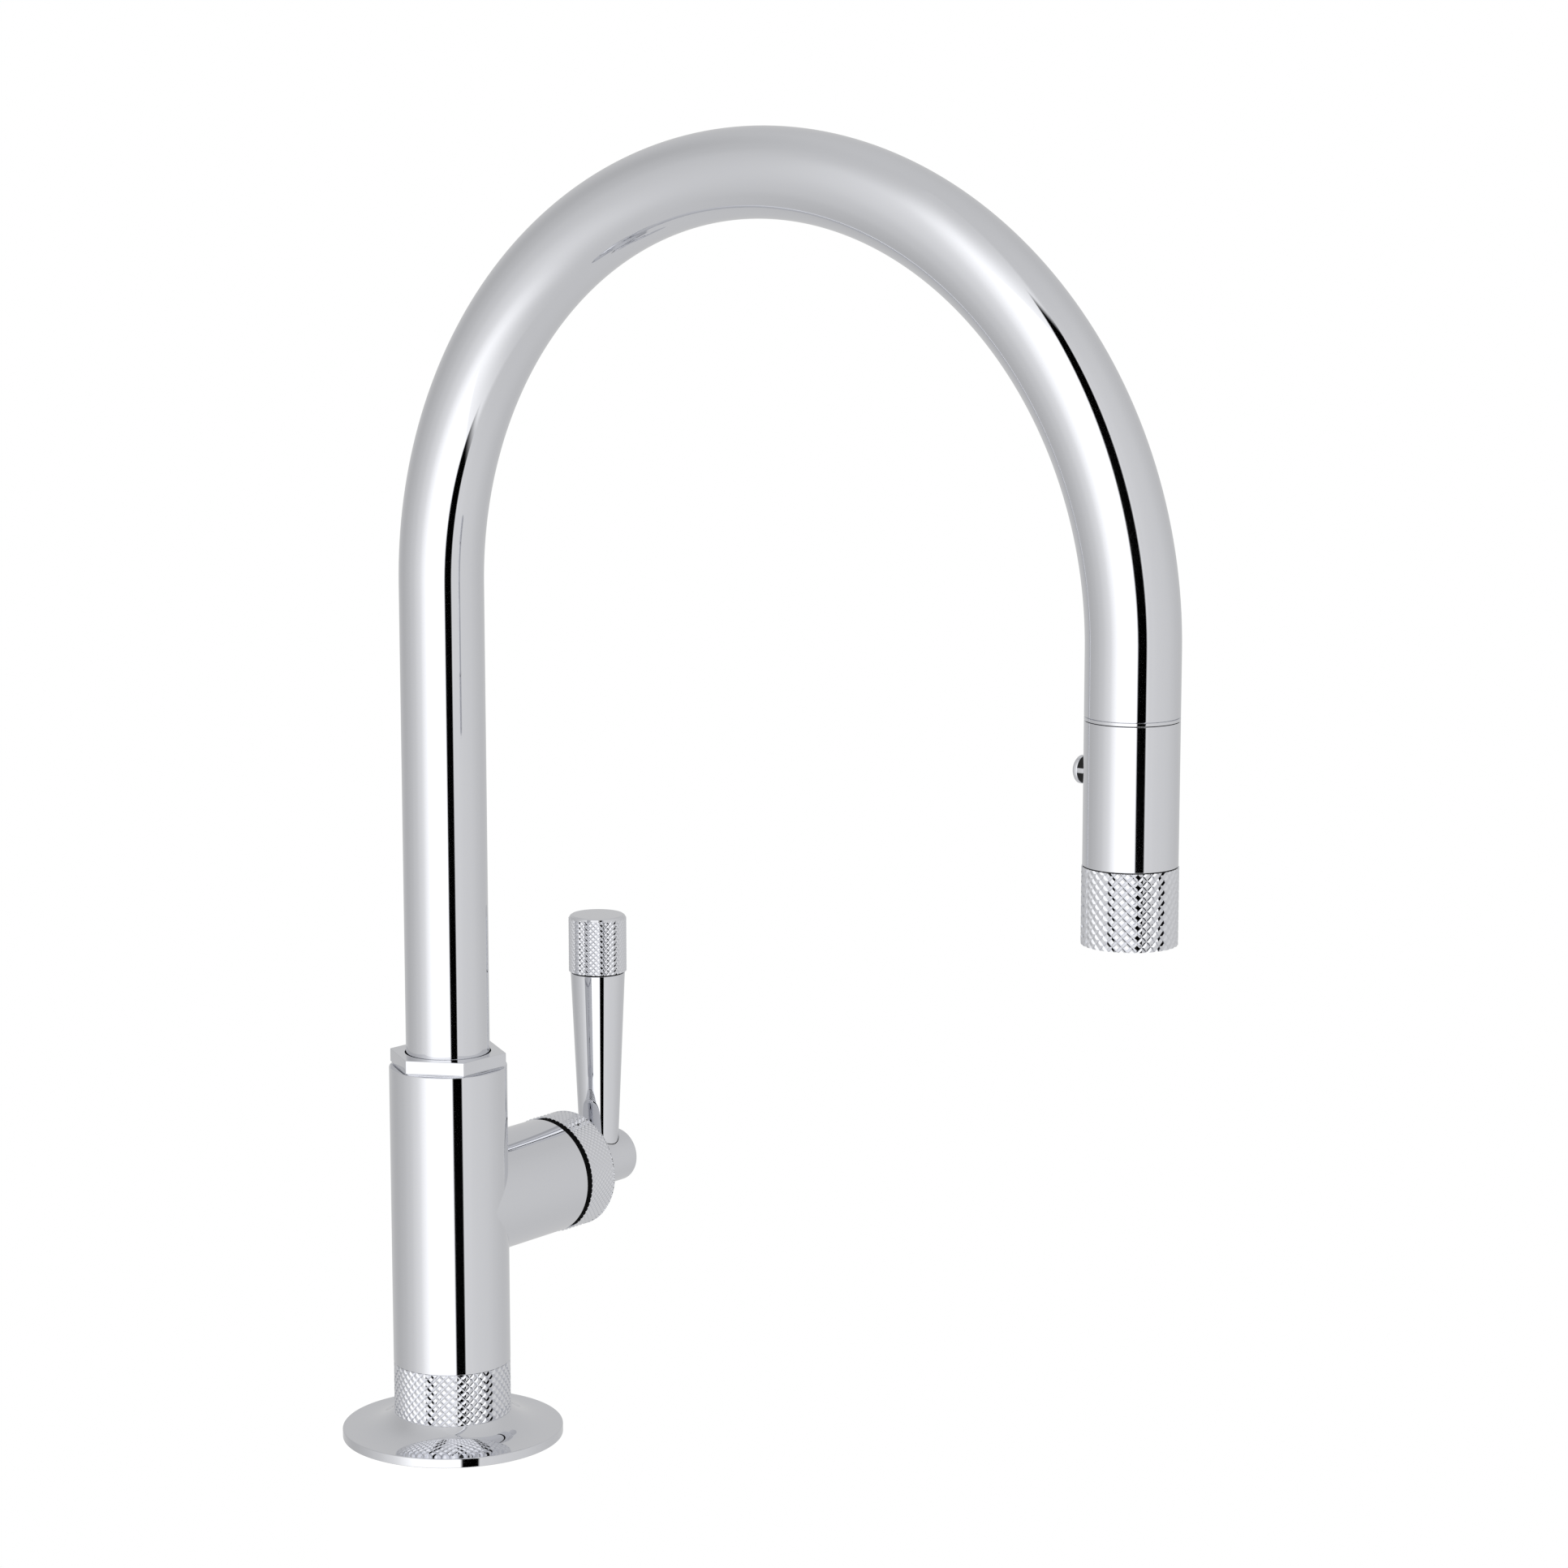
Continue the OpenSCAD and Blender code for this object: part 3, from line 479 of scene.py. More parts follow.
# the barrel's slanting inner end is hidden in the upright
low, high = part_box("side_barrel")
valve_z, barrel_r, barrel_end = (low.z + high.z) / 2, (high.z - low.z) / 2, high.y
barrel_bore, bore_start = barrel_r - 0.0028, 0.0165
sideways = at(0, 0, valve_z) @ tilt(-90, "X")
barrel = turned("side_barrel_wall", [(barrel_bore, bore_start), (barrel_r, 0.0),
                                     (barrel_r, barrel_end), (barrel_bore, barrel_end)],
                chrome("chrome_plate_barrel", (1, 0.15, 1)), steps=192, ease=0.0002, lie=sideways)
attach(barrel, "base")
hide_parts("side_barrel")

# ---- Deck fixing -------------------------------------------------------------------------
# A brass shank with a fine rolled thread goes down through the worktop. Under it a rubber gasket
# and a stainless washer spread the load, and a flanged nut with three clamp screws pulls the
# faucet down.
low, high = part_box("threaded_shank")
shank_bore, root_r, relief_r = shank_r - 0.0016, shank_r - 0.0007, shank_r - 0.0001
pitch, thread_top, steps = 0.0015, -0.004, 48
start = low.z - 1.2 * pitch
turns = math.ceil((thread_top - start) / pitch) + 1
bm = bmesh.new()
thread = chain(bm, [(r, start + share * pitch) for r, share in
                    ((root_r, 0), (root_r, 0.12), (shank_r, 0.5), (shank_r, 0.62), (root_r, 1.0))])
bmesh.ops.spin(bm, geom=thread, cent=(0, 0, 0), axis=(0, 0, 1), dvec=(0, 0, pitch / steps),
               angle=math.tau * turns, steps=steps * turns)
bmesh.ops.remove_doubles(bm, verts=bm.verts, dist=1e-6)
for z, side in ((low.z, -1), (thread_top, 1)):
    bmesh.ops.bisect_plane(bm, geom=bm.verts[:] + bm.edges[:] + bm.faces[:], plane_co=(0, 0, z),
                           plane_no=(0, 0, side), clear_outer=True)
bore_ends = grow_rim(bm, low.z, [(shank_bore, low.z), (shank_bore, 0.01)])
bore_ends += grow_rim(bm, thread_top, [(relief_r, thread_top), (relief_r, high.z),
                                       (shank_bore, high.z), (shank_bore, 0.02)])
bmesh.ops.bridge_loops(bm, edges=bore_ends)
bmesh.ops.recalc_face_normals(bm, faces=bm.faces)
shank = build("shank_rolled_thread", bm, machined("rolled_brass_thread", "Z", "#D6BA7E"))
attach(shank, "base")
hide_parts("threaded_shank")


def rubber(name, colour="#0C0C0D"):
    """Moulded rubber: dead matt black, greyed in patches by a powdery bloom."""
    look, tree = material(name)
    place = add(tree, "ShaderNodeTexCoord")
    bloom = add(tree, "ShaderNodeTexNoise",
                {"Vector": place.outputs["Object"], "Scale": 140, "Detail": 4})
    shade = add(tree, "ShaderNodeMix",
                {"Factor": bloom.outputs[0], "A": linear(colour), "B": linear("#1C1C1D")},
                data_type="RGBA")
    grain = add(tree, "ShaderNodeTexNoise",
                {"Vector": place.outputs["Object"], "Scale": 2200, "Detail": 2})
    bump = add(tree, "ShaderNodeBump",
               {"Strength": 0.2, "Distance": 0.00005, "Height": grain.outputs[0]})
    surface(tree, add(tree, "ShaderNodeBsdfPrincipled",
                      {"Base Color": shade.outputs["Result"], "Roughness": 0.75,
                       "Specular IOR Level": 0.3, "Normal": bump.outputs[0]}))
    return look


def stainless(name, marks, colour="#B9BCC0"):
    """Stainless steel with the short hairlines of a satin brush, along any axis where marks is
    small. They stretch its highlights."""
    look, tree = material(name)
    place = add(tree, "ShaderNodeTexCoord")
    stretch = add(tree, "ShaderNodeMapping", {"Vector": place.outputs["Object"], "Scale": marks})
    hair = add(tree, "ShaderNodeTexNoise",
               {"Vector": stretch.outputs[0], "Scale": 900, "Detail": 4})
    rough = add(tree, "ShaderNodeMapRange",
                {"Value": hair.outputs[0], "From Min": 0.3, "From Max": 0.7,
                 "To Min": 0.2, "To Max": 0.38})
    bump = add(tree, "ShaderNodeBump",
               {"Strength": 0.12, "Distance": 0.00003, "Height": hair.outputs[0]})
    surface(tree, add(tree, "ShaderNodeBsdfPrincipled",
                      {"Base Color": linear(colour), "Metallic": 1.0,
                       "Roughness": rough.outputs[0], "Normal": bump.outputs[0]}))
    return look


def finish(nodes, look):
    """Gives CAD nodes whose shape is right their real material."""
    for node in nodes:
        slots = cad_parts[node].data.materials
        slots.clear()
        slots.append(look)


finish(["base_gasket", "deck_gasket"], rubber("moulded_rubber_gaskets"))
finish(["deck_washer"], stainless("brushed_steel_washer", (1, 0.06, 1)))
finish(["mounting_nut"], machined("turned_brass_nut", "Z"))
finish(["clamp_screws"], stainless("stainless_clamp_screws", (1, 1, 0.3)))

# ---- Collar nut --------------------------------------------------------------------------
# A low hexagonal nut on top of the body that holds the swivelling spout down. It clears the
# spout by a narrow dark gap, and its edges are broken and plated over.
def hexagon(name, corner, bottom, top):
    """A hexagonal ring with broken edges, turned to the side that the nut was tightened to."""
    hole, tightened = 0.0144, tilt(-2.1, "Z")
    bm = bmesh.new()
    bmesh.ops.create_circle(bm, segments=6, radius=corner, matrix=tightened)
    bmesh.ops.subdivide_edges(bm, edges=bm.edges, cuts=15)
    bmesh.ops.create_circle(bm, segments=96, radius=hole, matrix=tightened)
    bmesh.ops.bridge_loops(bm, edges=bm.edges)
    raised, _ = parted(bmesh.ops.extrude_face_region(bm, geom=list(bm.faces))["geom"])
    bmesh.ops.translate(bm, verts=raised, vec=(0, 0, top - bottom))
    bmesh.ops.translate(bm, verts=bm.verts, vec=(0, 0, bottom))
    bmesh.ops.recalc_face_normals(bm, faces=bm.faces)
    ease_edges(bm, min(0.00025, (top - bottom) / 8))
    made = build(name, bm, chrome("chrome_plate_" + name, (1, 1, 1)))
    even_shading(made)
    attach(made, "base")
    return made


corner, seat = 0.02, 0.0004
nut = hexagon("collar_nut_hexagon", corner, body_top + seat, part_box("collar_nut")[1].z)
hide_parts("collar_nut")

# a narrower step under the flats leaves a fine shadow line on the body
hexagon("collar_nut_step", corner - 0.0008, body_top, body_top + seat + 0.0001)

# ---- Swivel bearing ----------------------------------------------------------------------
# Inside the body the spout turns in two bushes of natural white acetal. A brass collar brazed on
# the tube is held between them, and a rubber ring seals it.
def acetal(name, colour="#E9E8E1", rough=0.42, gloss=0.5):
    """Moulded acetal: a waxy sheen over the fine even grain of a spark-eroded mould."""
    look, tree = material(name)
    place = add(tree, "ShaderNodeTexCoord")
    grain = add(tree, "ShaderNodeTexNoise",
                {"Vector": place.outputs["Object"], "Scale": 2500, "Detail": 3})
    bump = add(tree, "ShaderNodeBump",
               {"Strength": 0.15, "Distance": 0.00005, "Height": grain.outputs[0]})
    flow = add(tree, "ShaderNodeTexNoise",
               {"Vector": place.outputs["Object"], "Scale": 70, "Detail": 2})
    sheen = add(tree, "ShaderNodeMapRange",
                {"Value": flow.outputs[0], "To Min": rough * 0.8, "To Max": rough * 1.2})
    surface(tree, add(tree, "ShaderNodeBsdfPrincipled",
                      {"Base Color": linear(colour), "Roughness": sheen.outputs[0],
                       "Specular IOR Level": gloss, "Normal": bump.outputs[0]}))
    return look


finish(["lower_bush", "upper_bush"], acetal("natural_acetal_bushes"))
finish(["spout_collar"], machined("turned_brass_collar", "Z"))
finish(["spout_o_ring"], rubber("nitrile_o_ring"))

# ---- Spout -------------------------------------------------------------------------------
# One brass tube, mandrel bent to a half circle without flattening, polished and chrome plated. The
# ring at its mouth, also plated, has a fine step on top, and the head docks in a sleeve inside it.
low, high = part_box("spout_tube")
tube_r = -low.x
arch_r = (high.x - tube_r) / 2
head_x = 2 * arch_r
arch_z = high.z - tube_r - arch_r
ring_low, ring_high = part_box("outlet_ring")


def draw_out(bm, end, along):
    """Extends the open end of a tube and returns its new end."""
    verts, edges = parted(bmesh.ops.extrude_edge_only(bm, edges=end)["geom"])
    bmesh.ops.translate(bm, verts=verts, vec=along)
    return edges


def bend_over(bm, end, steps):
    """Takes the open end of a tube over the arch and returns its new end."""
    verts = list({v for e in end for v in e.verts})
    spun = bmesh.ops.spin(bm, geom=verts + end, cent=(arch_r, 0, arch_z), axis=(0, 1, 0),
                          angle=math.pi, steps=steps)
    return parted(spun["geom_last"])[1]


# a short row at each end of the tube keeps the shading of its long walls even
end_row = 0.001
bm = bmesh.new()
bmesh.ops.create_circle(bm, segments=128, radius=tube_r, matrix=at(0, 0, low.z))
end = draw_out(bm, list(bm.edges), (0, 0, end_row))
end = draw_out(bm, end, (0, 0, arch_z - low.z - end_row))
end = bend_over(bm, end, 128)
end = draw_out(bm, end, (0, 0, ring_high.z - arch_z + end_row))
draw_out(bm, end, (0, 0, -end_row))
bmesh.ops.recalc_face_normals(bm, faces=bm.faces)
spout = build("spout_bent_tube", bm, chrome("chrome_plate_spout", (0.4, 1, 0.4)))
wall = spout.modifiers.new("tube_wall", "SOLIDIFY")
wall.thickness, wall.offset = 0.0015, -1
even_shading(spout)
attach(spout, "spout")
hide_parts("spout_tube")

at_head = at(head_x, 0, 0)
outlet_bore, neck, line = 0.0109, tube_r - 0.0006, 0.00035
outlet = turned("outlet_ring_band", [(outlet_bore, ring_low.z), (tube_r, ring_low.z),
                                     (tube_r, ring_high.z - line), (neck, ring_high.z - line),
                                     (neck, ring_high.z), (outlet_bore, ring_high.z)],
                chrome("chrome_plate_outlet", (1, 1, 1)), ease=0.0001, lie=at_head)
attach(outlet, "spout")
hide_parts("outlet_ring")
finish(["dock_sleeve"], acetal("natural_acetal_dock_sleeve"))

# ---- Hose --------------------------------------------------------------------------------
# A hose in a nylon braid comes up the riser and over the arch to the spray head, with a brass quick
# coupling below the deck. The length that follows the head out of the spout is folded in its mouth.
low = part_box("spray_hose")[0]
hose_r, sides = -low.x, 32
hose_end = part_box("hose_nipple")[1].z + 0.0003


def lay_braid(bm, spot):
    """Lays the braid on a hose by its UV map: turns round it, and metres along it."""
    marks = bm.loops.layers.uv.new("round_and_along")
    for face in bm.faces:
        spots = [spot(loop.vert) for loop in face.loops]
        across_seam = max(u for u, _ in spots) - min(u for u, _ in spots) > 0.5
        for loop, (u, v) in zip(face.loops, spots):
            loop[marks].uv = (u + 1 if across_seam and u < 0 else u, v)


def in_spout(vert):
    """Where a point of the hose lies on it, from its lower end, up the riser and over the arch."""
    dx, dz = vert.co.x - arch_r, vert.co.z - arch_z
    bent = math.hypot(dx, max(dz, 0))
    if dz > 0:
        along = arch_z - low.z + arch_r * math.atan2(dz, -dx)
    else:
        along = arch_z - low.z + (dz if dx < 0 else math.pi * arch_r - dz)
    return math.atan2(vert.co.y, bent - arch_r) / math.tau, along


def braid(name):
    """Nylon yarn braided two over, two under in two greys, with the lines of its filaments, and
    shade painted dark where the strands dip under each other.
    """
    strands_each_way, rise = 8, 0.006
    look, tree = material(name)
    place = add(tree, "ShaderNodeUVMap", uv_map="round_and_along")
    spot = add(tree, "ShaderNodeSeparateXYZ", {"Vector": place.outputs[0]})
    climb = add(tree, "ShaderNodeMath", {0: spot.outputs["Y"], 1: math.tau / rise},
                operation="MULTIPLY")
    strands = []
    for lean in (1, -1):
        winding = add(tree, "ShaderNodeMath",
                      {0: spot.outputs["X"], 1: math.tau * strands_each_way * lean},
                      operation="MULTIPLY")
        phase = add(tree, "ShaderNodeMath", {0: winding.outputs[0], 1: climb.outputs[0]},
                    operation="ADD")
        strands.append(add(tree, "ShaderNodeMath", {0: phase.outputs[0]}, operation="SINE"))
    cross = add(tree, "ShaderNodeMath", {0: strands[0].outputs[0], 1: strands[1].outputs[0]},
                operation="MULTIPLY")
    over = add(tree, "ShaderNodeMapRange",
               {"Value": cross.outputs[0], "From Min": -0.1, "From Max": 0.1})
    crown = add(tree, "ShaderNodeMath", {0: cross.outputs[0]}, operation="ABSOLUTE")
    yarn = add(tree, "ShaderNodeTexNoise",
               {"Vector": place.outputs[0], "Scale": 1.0, "Detail": 6, "Roughness": 0.9})
    shade = add(tree, "ShaderNodeMix",
                {"Factor": over.outputs[0], "A": linear("#55575C"), "B": linear("#8E9096")},
                data_type="RGBA")
    # painted shade: the colour goes to near black where the strands dip under each other
    depth = add(tree, "ShaderNodeMapRange", {"Value": crown.outputs[0], "From Max": 0.35})
    shade = add(tree, "ShaderNodeMix", {"Factor": depth.outputs[0], "A": linear("#222225"),
                                        "B": shade.outputs["Result"]}, data_type="RGBA")
    height = add(tree, "ShaderNodeMath", {0: crown.outputs[0], 1: yarn.outputs[0]},
                 operation="MULTIPLY")
    bump = add(tree, "ShaderNodeBump",
               {"Strength": 0.6, "Distance": 0.0004, "Height": height.outputs[0]})
    surface(tree, add(tree, "ShaderNodeBsdfPrincipled",
                      {"Base Color": shade.outputs["Result"], "Roughness": 0.55,
                       "Sheen Weight": 0.15, "Normal": bump.outputs[0]}))
    return look


nylon = braid("braided_nylon")
bm = bmesh.new()
bmesh.ops.create_circle(bm, segments=sides, radius=hose_r, matrix=at(0, 0, low.z))
end = draw_out(bm, list(bm.edges), (0, 0, arch_z - low.z))
end = bend_over(bm, end, 96)
draw_out(bm, end, (0, 0, hose_end - arch_z))
bmesh.ops.recalc_face_normals(bm, faces=bm.faces)
lay_braid(bm, in_spout)
hose = build("hose_in_spout", bm, nylon)
wall = hose.modifiers.new("hose_wall", "SOLIDIFY")
wall.thickness, wall.offset = 0.002, -1
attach(hose, "spout")
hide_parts("spray_hose")

# the pull-out length: its rows lie folded in the hose's end, closest where the blend carries them
# furthest apart, so that they draw out evenly, 0.4 m in all
rows, reach = 160, 0.4
bm = bmesh.new()
bmesh.ops.create_circle(bm, segments=sides, radius=hose_r - 0.00005, matrix=at(head_x, 0, arch_z))
end = list(bm.edges)
fold = 0.0
for row in range(1, rows + 1):
    last, share = fold, 0.5 - math.sin(math.asin(1 - 2 * row / rows) / 3)
    fold = (arch_z - hose_end) * share
    end = draw_out(bm, end, (0, 0, last - fold))
bmesh.ops.recalc_face_normals(bm, faces=bm.faces)
bm.verts.index_update()
lay_braid(bm, lambda vert: (math.atan2(vert.co.y, vert.co.x - head_x) / math.tau,
                            reach * (vert.index // sides) / rows))
drawn = build("hose_pulled_length", bm, nylon)
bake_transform(drawn)
finish(["hose_coupling"], machined("turned_brass_coupling", "Z"))

# ---- Spray head --------------------------------------------------------------------------
# A plated sleeve round the plastic water body, then a knurled ring round the nozzles that
# unscrews to free them. The ring has the same coarse diamonds as the base.
low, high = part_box("spray_shell")
sleeve_bore, neck_bore, top_wall, top = 0.0124, 0.0105, high.z - 0.0016, high.z + 0.0001
shell = turned("spray_head_sleeve", [(neck_bore, top_wall), (neck_bore, top), (tube_r, top),
                                     (tube_r, low.z), (sleeve_bore, low.z),
                                     (sleeve_bore, top_wall)],
               chrome("chrome_plate_sleeve", (1, 1, 0.15)), steps=192, ease=0.00018, lie=at_head)
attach(shell, "spray_head")
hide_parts("spray_shell")

shell_foot = low.z
low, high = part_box("knurled_nozzle_ring")
nozzle_r = (high.x - low.x) / 2
nozzle_ring = knurled("nozzle_ring_knurl", nozzle_r, low.z, high.z,
                      chrome("chrome_plate_nozzle_ring", (1, 1, 1)), nozzle_r - 0.0021,
                      around=30, lie=at_head)
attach(nozzle_ring, "spray_head")
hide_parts("knurled_nozzle_ring")


def square_ring(inner, outer, bottom, top):
    """The half outline of a plain ring."""
    return [(inner, bottom), (outer, bottom), (outer, top), (inner, top)]


# a thin rubber ring fills the joint of sleeve and knurled ring, and draws a black line there
joint_bore, joint_r = 0.0125, 0.0138
joint = turned("nozzle_joint_ring",
               square_ring(joint_bore, joint_r, high.z - 0.0001, shell_foot + 0.0001),
               rubber("rubber_joint_ring", "#050505"), lie=at_head)
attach(joint, "spray_head")

# the plastic water body, with its docking neck, check valve, o-ring and the hose's brass nipple
finish(["spray_core", "check_valve"], acetal("natural_acetal_water_body"))
finish(["neck_o_ring"], rubber("nitrile_neck_o_ring"))
finish(["hose_nipple"], machined("turned_brass_nipple", "Z"))

# ---- Nozzles -----------------------------------------------------------------------------
# A brushed steel face with two rings of soft rubber nozzles for the spray, round the aerator's
# acetal thimble and its perforated steel screen.
finish(["spray_face"], stainless("brushed_steel_face", (1, 0.06, 1)))
finish(["nozzle_mat"], rubber("silicone_nozzle_mat", "#202123"))
finish(["aerator_housing"], acetal("grey_acetal_aerator", "#B9BBBC"))
finish(["aerator_screen"], stainless("etched_steel_screen", (1, 1, 1), "#A9ACB0"))

# ---- Spray button ------------------------------------------------------------------------
# A small domed push button, turned, polished and plated, set in a dead black ring that is painted
# shadow round its root. Behind it a steel spool in the water body changes jet to spray, and a coil
# brings it back.
def arc(cx, cz, radius, start, end, count):
    """Points of an arc in the outline's plane, in degrees."""
    return [(cx + radius * math.cos(math.radians(start + (end - start) * i / count)),
             cz + radius * math.sin(math.radians(start + (end - start) * i / count)))
            for i in range(count + 1)]


low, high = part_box("spray_button")
button_z, tip = (low.z + high.z) / 2, head_x - low.x
button_r, neck_r, dome, foot = 0.0042, 0.0037, 0.0019, 0.0108
rim = tip - dome - 0.0012
bow = (button_r ** 2 + dome ** 2) / (2 * dome)
opening = math.degrees(math.asin(button_r / bow))
inward = at(head_x, 0, button_z) @ tilt(-90, "Y")
button = turned("button_dome", [(0.0, foot), (neck_r, foot), (neck_r, rim), (button_r, rim)]
                + arc(0.0, tip - bow, bow, 90 - opening, 90, 14),
                chrome("chrome_plate_button", (1, 1, 1)), closed=False, steps=64, ease=0.0002,
                lie=inward)
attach(button, "button")
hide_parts("spray_button")

# painted shadow: a dead black ring round the button's root stands in for the dark gap there
painted_root_shadow = turned("button_root_painted_shadow",
              square_ring(neck_r - 0.0001, button_r - 0.0002, 0.012, rim + 0.0001),
              rubber("black_painted_button_root_shadow", "#030303"), steps=64, lie=inward)
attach(painted_root_shadow, "button")

# a plated web runs across the black ring and ties the dome to its flange
web_start, web_end, web_z = 0.01155, rim + 0.00005, button_z + 0.0002
web_w, web_h = 2 * (button_r - 0.00012), 0.0015
bm = bmesh.new()
bmesh.ops.create_cube(bm, size=1.0)
bmesh.ops.scale(bm, verts=bm.verts, vec=(web_end - web_start, web_w, web_h))
bmesh.ops.translate(bm, verts=bm.verts, vec=(head_x - (web_end + web_start) / 2, 0, web_z))
ease_edges(bm, 0.0002)
web = build("button_web", bm, chrome("chrome_plate_web", (1, 1, 1)))
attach(web, "button")
finish(["diverter_spool"], machined("turned_steel_spool", "X", "#B9BCC0", "#8E9094"))

# the coil is one wire wound three turns about the push
low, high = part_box("button_spring")
wire_r, turns, around = 0.00025, 3, 48
coil_r, floor_x, flange_x = (high.z - low.z) / 2 - wire_r, high.x, low.x
pitch = (floor_x - flange_x - 2 * wire_r) / (turns * around)
bm = bmesh.new()
section = bmesh.ops.create_circle(bm, segments=12, radius=wire_r)["verts"]
wire_end = at(flange_x + wire_r, 0, button_z + coil_r) @ tilt(90, "X")
bmesh.ops.transform(bm, matrix=wire_end, verts=section)
bmesh.ops.spin(bm, geom=section + bm.edges[:], cent=(0, 0, button_z), axis=(1, 0, 0),
               dvec=(pitch, 0, 0), angle=math.tau * turns, steps=turns * around)
bmesh.ops.holes_fill(bm, edges=[e for e in bm.edges if e.is_boundary], sides=0)
bmesh.ops.recalc_face_normals(bm, faces=bm.faces)
coil = build("button_coil", bm, stainless("drawn_spring_wire", (1, 1, 1)))
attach(coil, "button")
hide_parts("button_spring")
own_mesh(coil)

# ---- Cartridge ---------------------------------------------------------------------------
# The ceramic valve behind the cap: an acetal housing on a rubber seal, a fixed and a moving disc
# of lapped alumina, their driver, and a guide with a pin that the stem tilts on. A brass nut
# clamps it.
finish(["cartridge_seal"], rubber("moulded_port_seal"))
finish(["cartridge_housing", "stem_guide"], acetal("natural_acetal_cartridge"))
finish(["disc_driver"], acetal("black_acetal_driver", "#161618"))
finish(["pivot_pin", "lever_stem"],
       machined("ground_steel_stem", "Y", "#B9BCC0", "#8E9094", rough=0.2))
finish(["cartridge_nut"], machined("turned_brass_clamp_nut", "Y"))

# alumina ground flat and lapped: an ivory white with a soft gloss over its fine crystals
look, tree = material("lapped_alumina")
place = add(tree, "ShaderNodeTexCoord")
crystals = add(tree, "ShaderNodeTexNoise",
               {"Vector": place.outputs["Object"], "Scale": 3500, "Detail": 2})
shade = add(tree, "ShaderNodeMix",
            {"Factor": crystals.outputs[0], "A": linear("#F4F2EA"), "B": linear("#E6E3D9")},
            data_type="RGBA")
lapped = add(tree, "ShaderNodeMapRange",
             {"Value": crystals.outputs[0], "To Min": 0.08, "To Max": 0.2})
surface(tree, add(tree, "ShaderNodeBsdfPrincipled",
                  {"Base Color": shade.outputs["Result"], "Roughness": lapped.outputs[0],
                   "IOR": 1.76}))
finish(["fixed_disc", "moving_disc"], look)

# ---- Cap of the side valve ---------------------------------------------------------------
# A dull black acetal ring, then a cap whose mouth the lever's ball fills. The cap is turned brass
# with a fine diamond knurl and a smooth rounded end, chrome plated.
finish(["groove_ring"], acetal("black_acetal_ring", "#020202", rough=0.8, gloss=0.08))


def rounded_end(radius, end, *steps):
    """The turned edge of an end, each step so far in from the side and so far down from the end."""
    return [(radius - inset, end - drop) for inset, drop in steps]


low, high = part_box("knurled_cap")
cap_r, cap_end, mouth = (high.z - low.z) / 2, high.y, 0.01225
cap = knurled("cap_fine_knurl", cap_r, low.y, cap_end - 0.0012,
              chrome("chrome_plate_cap", (1, 1, 1)), cap_r - 0.003, around=68, lie=sideways,
              cap=rounded_end(cap_r, cap_end, (0, 0.0011), (0.0003, 0.0005), (0.0008, 0.0001),
                              (0.0014, 0)) + [(mouth, cap_end), (mouth + 0.0008, cap_end - 0.003)])
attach(cap, "base")
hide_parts("knurled_cap")

# the small pin hole that a hook wrench turns the cap by: a black plug in the knurl, painted as the
# shade inside the hole
pin_r, pin_depth, from_foot, round_cap = 0.00045, 0.001, 0.0059, -64
aside = sideways @ tilt(round_cap, "Z") @ at(0, 0, low.y + from_foot) @ tilt(90, "Y")
pin_hole = turned("cap_pin_hole", [(0.0, cap_r - pin_depth), (pin_r, cap_r - pin_depth),
                                   (pin_r, cap_r - 0.00005), (0.0, cap_r - 0.00012)],
                  acetal("black_painted_pin_hole_shade", "#0A0A0A", rough=0.8, gloss=0.08), closed=False,
                  steps=24, lie=aside)
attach(pin_hole, "base")

# ---- Lever -------------------------------------------------------------------------------
# The hub swings in the cap on its ball. A tapered rod is saddled on it and held from below by a
# grub screw, and a knurled knob with fine diamonds is screwed on the rod's end. All but the
# screw are turned brass, chrome plated.
low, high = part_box("lever_hub")
ball_r, ball_y, ball_back = (high.z - low.z) / 2, 0.058, 0.0105
hub_r, hub_ease, hub_rows = 0.00935, 0.0014, (0.0702, 0.0745, 0.0819)
meet = math.degrees(math.acos(hub_r / ball_r))
hub = turned("lever_hub_ball", [(0.0, ball_y - 0.001), (ball_back, ball_y - 0.001)]
             + arc(0.0, ball_y, ball_r, -4, meet, 16)
             + [(hub_r, y) for y in hub_rows]
             + arc(hub_r - hub_ease, high.y - hub_ease, hub_ease, 0, 90, 8) + [(0.0, high.y)],
             chrome("chrome_plate_hub", (1, 1, 1)), closed=False, lie=sideways)

# the grub screw's hole is tapped up through the hub from below
screw_low, screw_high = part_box("set_screw")
screw_r, screw_depth = 0.002, 0.0075
drilled(hub, [(at(0, (screw_low.y + screw_high.y) / 2, valve_z - hub_r - 0.002), screw_r,
               screw_depth)])
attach(hub, "lever")
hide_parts("lever_hub")
finish(["set_screw"], stainless("stainless_grub_screw", (1, 1, 1)))

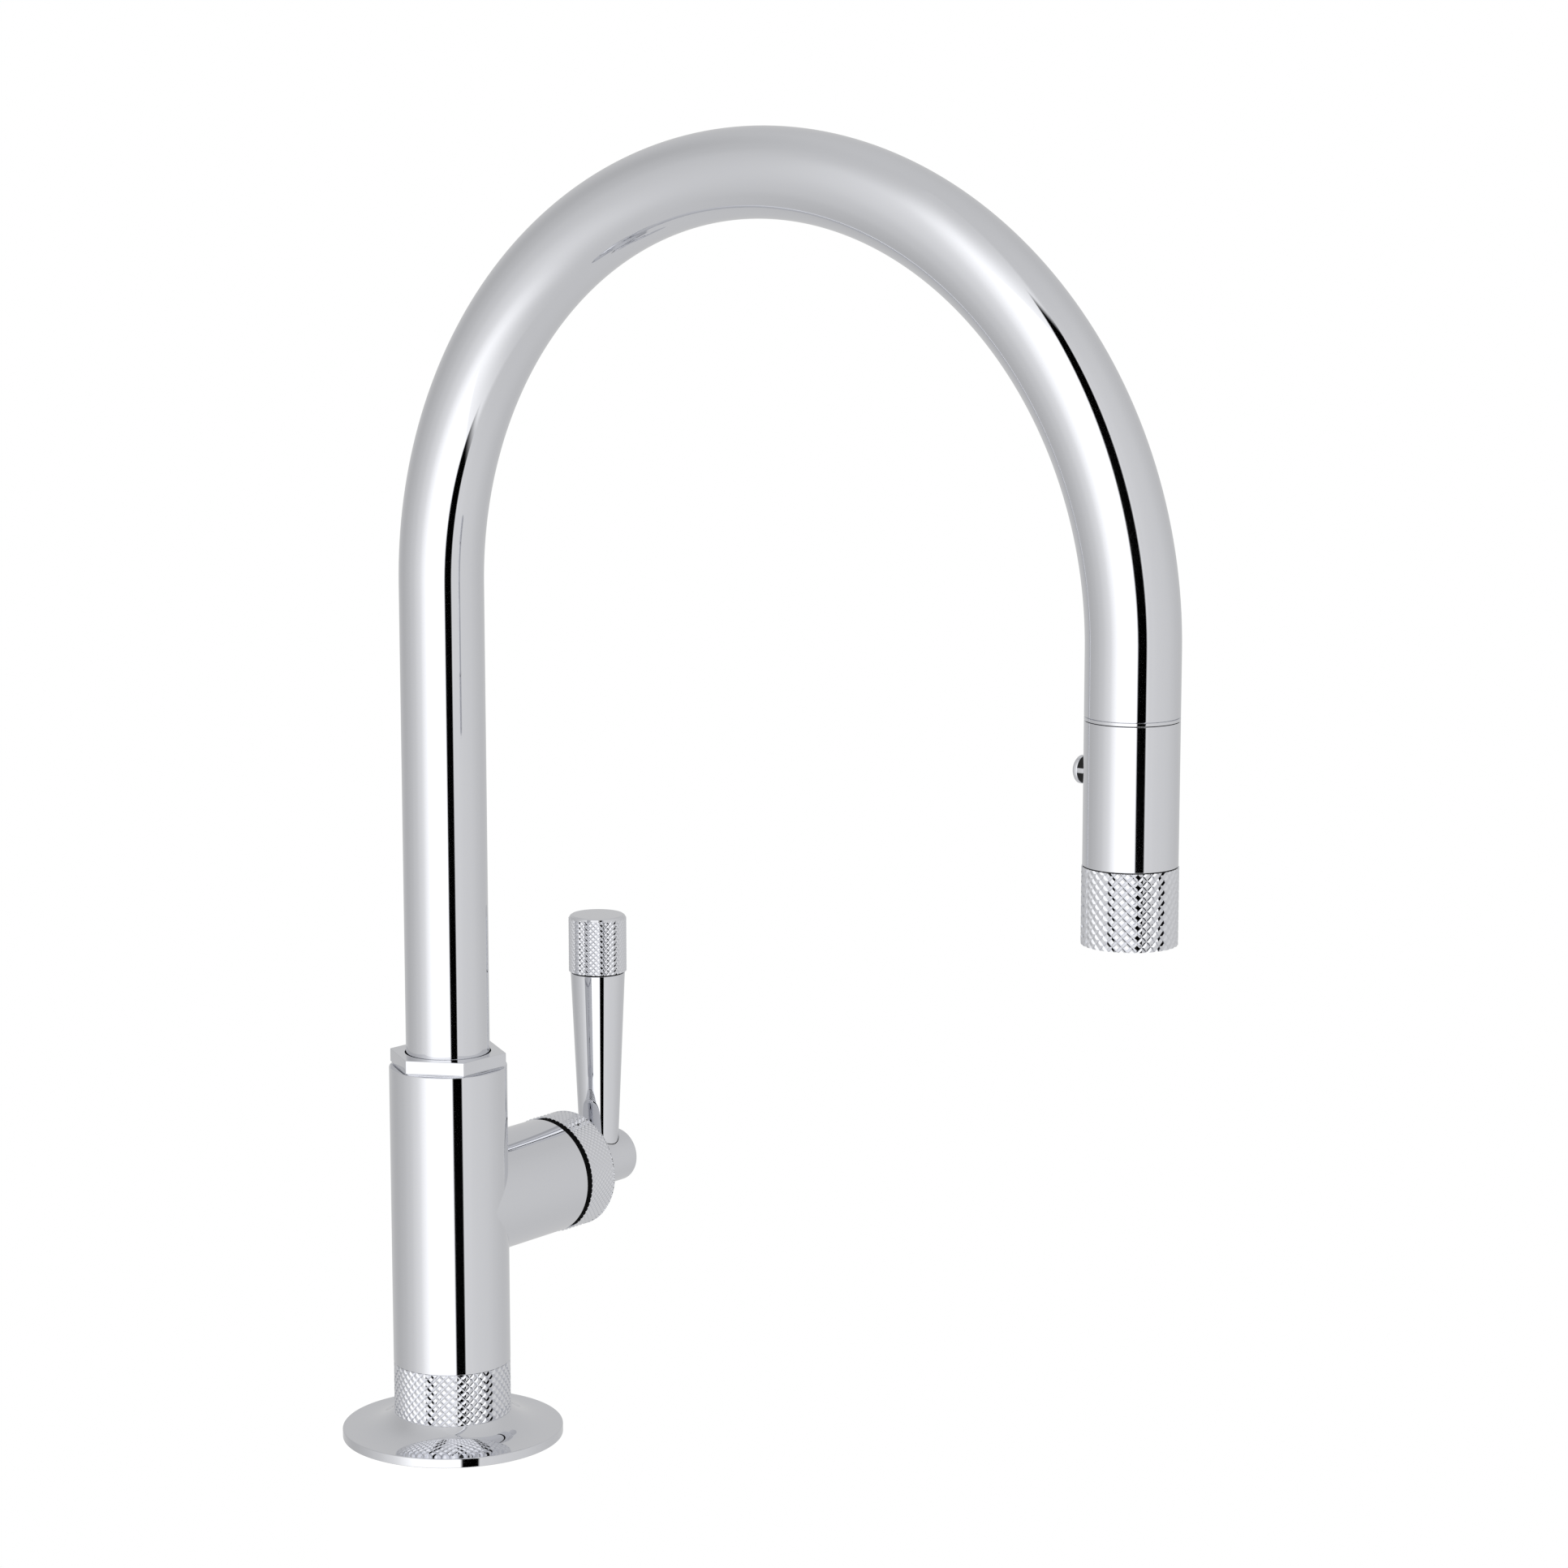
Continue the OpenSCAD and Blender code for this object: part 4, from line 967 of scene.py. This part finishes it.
# the rod tapers down to its foot, which is let into the hub; its top is stepped for the knob
low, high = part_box("lever_rod")
knob_low, knob_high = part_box("lever_knob")
knob_r, lever_y = (knob_high.x - knob_low.x) / 2, (low.y + high.y) / 2
at_lever = at(0, lever_y, 0)
foot_z, foot_r, sunk = valve_z + hub_r, 0.0069, 0.005
rod_top, rod_top_r, spigot_r = knob_low.z - 0.0003, (high.x - low.x) / 2, 0.006
flare = (rod_top_r - foot_r) / (rod_top - foot_z)
rod = turned("lever_tapered_rod", [(0.0, foot_z - sunk), (foot_r - flare * sunk, foot_z - sunk),
                                   (rod_top_r, rod_top), (spigot_r, rod_top),
                                   (spigot_r, rod_top + 0.001), (0.0, rod_top + 0.001)],
             chrome("chrome_plate_rod", (1, 1, 0.15)), closed=False, ease=0.00015, lie=at_lever)
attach(rod, "lever")
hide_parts("lever_rod")

# a black hairline painted as the shadow in the saddle joint, following the hub's curve round the
# rod's foot
line_r, line_up = 0.00013, 0.0015
bm = bmesh.new()
bmesh.ops.create_circle(bm, segments=8, radius=line_r,
                        matrix=at(foot_r - flare * line_up, 0, 0) @ tilt(90, "X"))
spin_round(bm, bm.verts[:] + bm.edges[:], 96)
for vert in bm.verts:
    vert.co += Vector((0, lever_y, valve_z + math.sqrt(hub_r ** 2 - vert.co.x ** 2)))
bmesh.ops.recalc_face_normals(bm, faces=bm.faces)
saddle = build("saddle_joint_line", bm, rubber("black_painted_joint_shadow", "#050505"))
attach(saddle, "lever")

# a black washer between rod and knob, its black painted as the shade in that seam
washer_bore = spigot_r + 0.0001
washer = turned("knob_washer",
                square_ring(washer_bore, rod_top_r - 0.0004, rod_top - 0.0001, rod_top + 0.0006),
                rubber("black_painted_knob_seam_shade", "#050505"), lie=at_lever)
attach(washer, "lever")

knob_end = knob_high.z
knob = knurled("knob_fine_knurl", knob_r, knob_low.z + 0.0003, knob_end - 0.0012,
               chrome("chrome_plate_knob", (1, 1, 1)), washer_bore, around=34, lie=at_lever,
               cap=rounded_end(knob_r, knob_end, (0.0002, 0.0009), (0.0005, 0.0004),
                               (0.0011, 0)) + [(0.0001, knob_end)])
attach(knob, "lever")
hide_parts("lever_knob")
